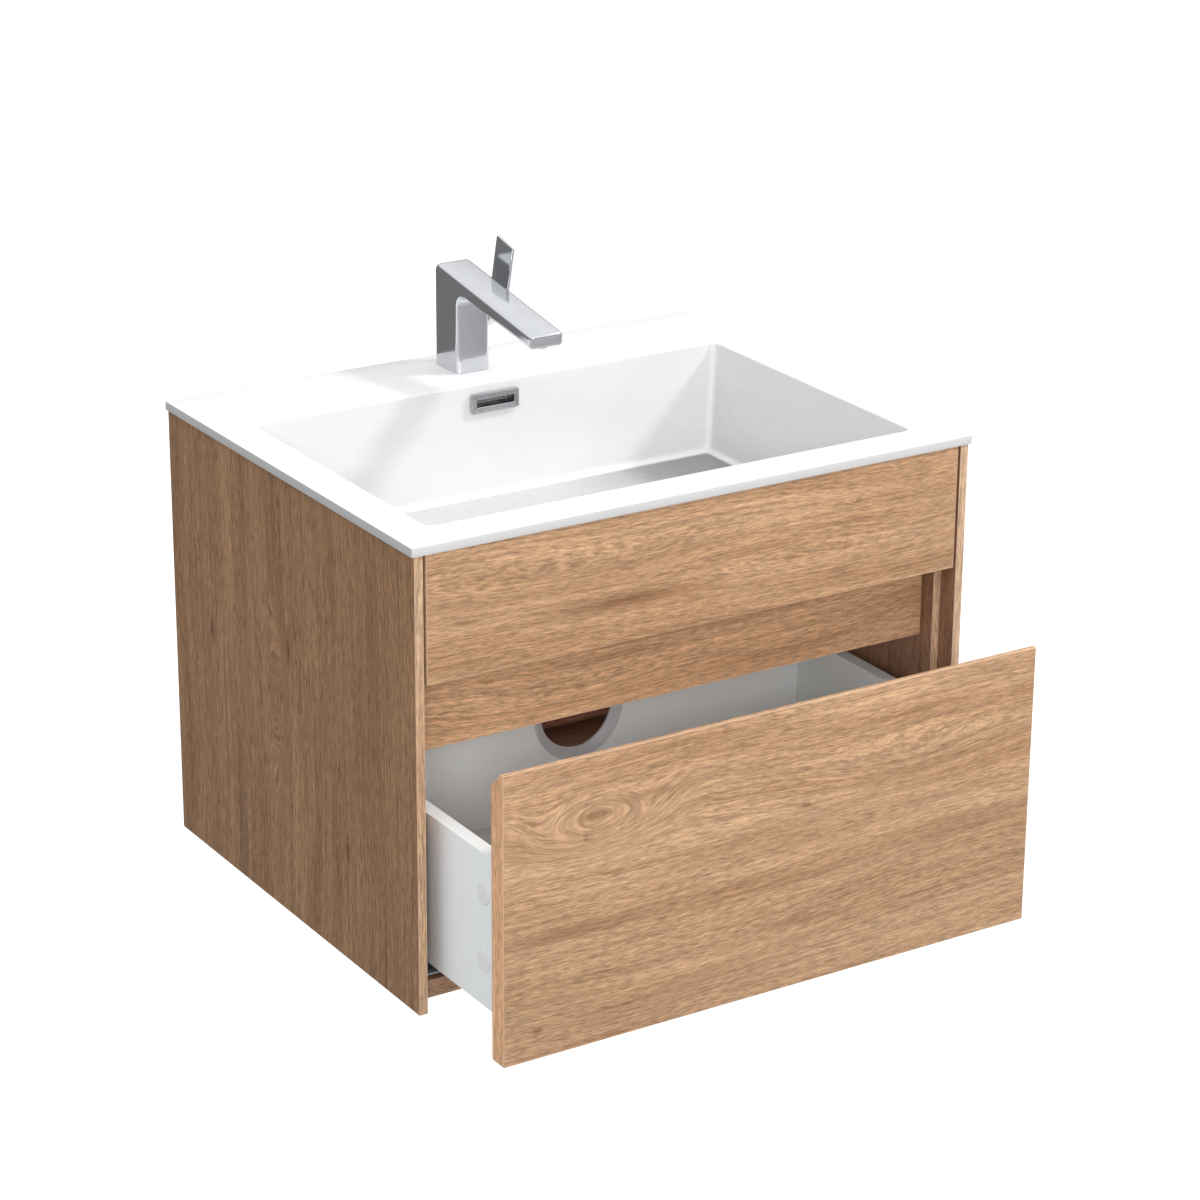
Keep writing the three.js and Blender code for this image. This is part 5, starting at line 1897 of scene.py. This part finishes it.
    def caps(self) -> None:
        """Round covers with a soft rim over the fixing screws."""
        for hand in Hand:
            for level in ("upper", "lower"):
                node = f"screw_cap_{hand.word}_{level}"
                low, high = box_of(node)
                middle = 0.5 * (low + high)
                radius = 0.5 * (high[2] - low[2])
                thick = high[0] - low[0]
                foot, way = (low[0], 1) if hand is Hand.RIGHT else (high[0], -1)
                profile = rounded_outline([
                    (0.0, 0.0), (radius, 0.0), (radius, 0.75 * thick, 0.35 * MM),
                    (radius - 0.9 * MM, thick, 0.4 * MM), (0.0, thick)], 3)
                profile = np.column_stack([profile[:, 0], foot + way * profile[:, 1]])
                put(f"cover_{hand.word}_{level}",
                    turned(profile, Axis.X, (0.0, middle[1], middle[2]), 48), Body.DRAWER,
                    self.palette.white_plastic, (node,))

    def build(self) -> None:
        """Makes the drawer without its slides."""
        self.front()
        self.box()
        self.notch_liner()
        self.caps()


@dataclass
class Slides:
    """The undermount slides: rolled steel members with softened folds, and their clips.

    Attributes:
        palette: the finishes.
        steel: sheet thickness of the fixed member.
        fold: outer radius of a fold; not used.
    """

    palette: Palette
    steel: float = 1.8 * MM
    fold: float = 0.9 * MM

    def member(self, node: str, body: Body, corners: list[tuple[float, ...]], hand: Hand) -> None:
        """A rolled member of constant section.

        Args:
            node: the model's node.
            body: the body that it moves with.
            corners: its section for the right-hand side, in millimetres from the slab's level.
            hand: the side that it is on.
        """
        low, high = box_of(node)
        base = low[2]
        outline = rounded_outline([(hand.value * x * MM, base + z * MM, *(r * MM for r in rest))
                                   for x, z, *rest in corners], 4)
        put(f"{node}_section", extruded(outline, Axis.Y, low[1], high[1], 0.25 * MM, 2), body,
            self.palette.zinc, (node,))

    def build(self) -> None:
        """Makes the three members and the clip on both sides."""
        r = 0.6
        for hand in Hand:
            self.member(f"cabinet_rail_{hand.word}", Body.CABINET, [
                (238.4, 0, r), (279.2, 0, r), (279.2, 28, 0.4), (277.4, 28, 0.4), (277.4, 1.8),
                (258, 1.8),
                (258, 7, r), (256.4, 7, r), (256.4, 1.8), (240, 1.8), (240, 7, r), (238.4, 7, r)],
                        hand)
            self.member(f"middle_rail_{hand.word}", Body.MIDDLE, [
                (241, 0, r), (255.4, 0, r), (255.4, 13.2, r), (253.8, 13.2, r), (253.8, 1.6),
                (242.6, 1.6), (242.6, 13.2, r), (241, 13.2, r)], hand)
            self.member(f"drawer_rail_{hand.word}", Body.DRAWER, [
                (244, 0, r), (252, 0, r), (252, 2.2, r), (249.4, 2.2), (249.4, 17.6),
                (258.4, 17.6, 0.4),
                (258.4, 19.4, r), (237, 19.4, r), (237, 17.6, 0.4), (246.6, 17.6), (246.6, 2.2),
                (244, 2.2, r)], hand)
            dress(f"locking_clip_{hand.word}", self.palette.grey_plastic)
            low, high = box_of(f"cabinet_rail_{hand.word}")
            wall = (low[0] + self.steel) if hand is Hand.LEFT else (high[0] - self.steel)
            face = Face.RIGHT if hand is Hand.LEFT else Face.LEFT
            length = high[1] - low[1]
            screws(f"cabinet_rail_{hand.word}_screws", Body.CABINET, self.palette, face,
                   [(wall, low[1] + share * length, high[2] - 6 * MM)
                    for share in (0.08, 0.5, 0.92)])


# ------------------------------------------------------------------------------------------
# Studio.


@dataclass
class Studio:
    """Floor, world, lights and camera.

    Attributes:
        floor_drop: how far the floor lies below the vanity.
        fill: brightness of the surroundings at the horizon.
        overhead: extra brightness overhead.
        left_glow: extra brightness from the left.
        sheen_panel: brightness of the overhead panel that metal reflects.
        sheen_fill: brightness of what it reflects elsewhere.
        sheen_front: extra brightness of the front in reflections.
        sheen_right: extra brightness of the right in reflections.
        yaw: how far the camera is turned, in radians.
        pitch: how far it looks down.
        roll: how far it is tilted.
        eye: the camera's place.
        lens: its focal length in millimetres.
    """

    floor_drop: float = 1.05
    fill: float = 0.50
    overhead: float = 0.78
    left_glow: float = 0.16
    sheen_panel: float = 0.86
    sheen_fill: float = 0.22
    sheen_front: float = 0.24
    sheen_right: float = 0.15
    yaw: float = 0.563
    pitch: float = 0.365
    roll: float = 0.007
    eye: Point = (-1.7005, -3.0010, 1.1213)
    lens: float = 108.13

    def floor(self) -> None:
        """A wide plain floor with a faint cloudiness. It lights nothing but itself."""
        level = float(CAD_BOX[0][2]) - self.floor_drop
        side = np.linspace(-40.0, 40.0, 9)
        x, y = np.meshgrid(side, side, indexing="ij")
        points = np.stack([x, y, np.full_like(x, level)], axis=-1).reshape(-1, 3)
        mesh = bpy.data.meshes.new("studio_floor")
        mesh.from_pydata(points.tolist(), [], grid_faces(9, 9, False, False).tolist())
        mesh.materials.append(Coating("pale_floor", (0.97, 0.97, 0.97), (0.95, 0.95, 0.95),
                                      (0.8, 0.9),
                                      grain=0.05, relief=0.0, cloud=1.0).material())
        floor = bpy.data.objects.new("studio_floor", mesh)
        bpy.context.scene.collection.objects.link(floor)
        floor.visible_diffuse = False
        floor.visible_glossy = False

    def world(self) -> None:
        """Soft surroundings: brighter overhead, and for reflections darker low at the back."""
        world = bpy.data.worlds.new("studio")
        bpy.context.scene.world = world
        sheet = Sheet(world)
        x, y, z = sheet.node("ShaderNodeTexCoord", {}, {}, "Generated").parts()
        up = z.most(0.0)
        soft = up * up * self.overhead + self.fill + (-x).most(0.0) * self.left_glow
        forward = x * 0.5 - y * 0.866
        panel = z.step(0.12, 0.6) * self.sheen_panel
        sheen = (panel + self.sheen_fill + forward.step(0.1, 0.9) * self.sheen_front
                 + x.step(0.3, 0.9) * self.sheen_right)
        glossy = sheet.node("ShaderNodeLightPath", {}, {}, "Is Glossy Ray")
        strength = soft + (sheen - soft) * glossy
        node = sheet.tree.nodes.new("ShaderNodeBackground")
        node.inputs["Color"].default_value = (0.985, 0.99, 1.0, 1.0)
        sheet.feed(node.inputs["Strength"], strength)
        end = sheet.tree.nodes.new("ShaderNodeOutputWorld")
        sheet.tree.links.new(node.outputs[0], end.inputs[0])

    def sun(self, name: str, side: float, front: float, height: float, power: float,
            spread: float) -> None:
        """A soft distant light that shines from the given direction.

        Args:
            name: the light's name.
            side: how far to the right it stands.
            front: how far in front.
            height: how high.
            power: its strength.
            spread: its angular size in degrees.
        """
        light = bpy.data.lights.new(name, "SUN")
        light.energy = power
        light.angle = math.radians(spread)
        lamp = bpy.data.objects.new(name, light)
        bpy.context.scene.collection.objects.link(lamp)
        level = math.hypot(side, front)
        lamp.rotation_euler = (math.atan2(level, height), 0.0, math.atan2(side, front))
        lamp.location = (side, -front, height)

    def camera(self) -> None:
        """The viewing angle: from the front left, a little above the deck."""
        yaw, pitch, roll = self.yaw, self.pitch, self.roll
        ahead = np.array([math.sin(yaw) * math.cos(pitch), math.cos(yaw) * math.cos(pitch),
                          -math.sin(pitch)])
        right = np.array([math.cos(yaw), -math.sin(yaw), 0.0])
        above = np.cross(right, ahead)
        side = math.cos(roll) * right + math.sin(roll) * above
        top = -math.sin(roll) * right + math.cos(roll) * above
        matrix = np.eye(4)
        matrix[:3, 0], matrix[:3, 1], matrix[:3, 2] = side, top, -ahead
        matrix[:3, 3] = self.eye
        data = bpy.data.cameras.new("camera")
        data.lens, data.sensor_width = self.lens, 36.0
        data.clip_end = 200.0
        camera = bpy.data.objects.new("camera", data)
        bpy.context.scene.collection.objects.link(camera)
        camera.matrix_world = matrix.T.tolist()
        bpy.context.scene.camera = camera

    def build(self) -> None:
        """Sets up the whole studio."""
        bpy.context.scene.view_settings.view_transform = "Standard"
        self.camera()
        self.floor()
        self.world()
        self.sun("key_light", 0.905, 0.42, 0.92, 1.45, 9.0)
        self.sun("front_light", -0.08, 0.90, 0.41, 0.45, 14.0)
        self.sun("side_light", -0.53, 0.85, 0.36, 0.50, 12.0)
        LOG.info("studio ready")


def main() -> None:
    """Builds the vanity and its studio in order."""
    logging.basicConfig(level=logging.INFO, format="%(name)s: %(message)s")
    Studio().build()
    palette = Palette()
    for part in (Carcass(palette), Ironmongery(palette), Basin(palette), Mixer(palette),
                 Drawer(palette),
                 Slides(palette)):
        part.build()
        LOG.info("%s done", type(part).__name__)


if __name__ == "__main__":
    main()
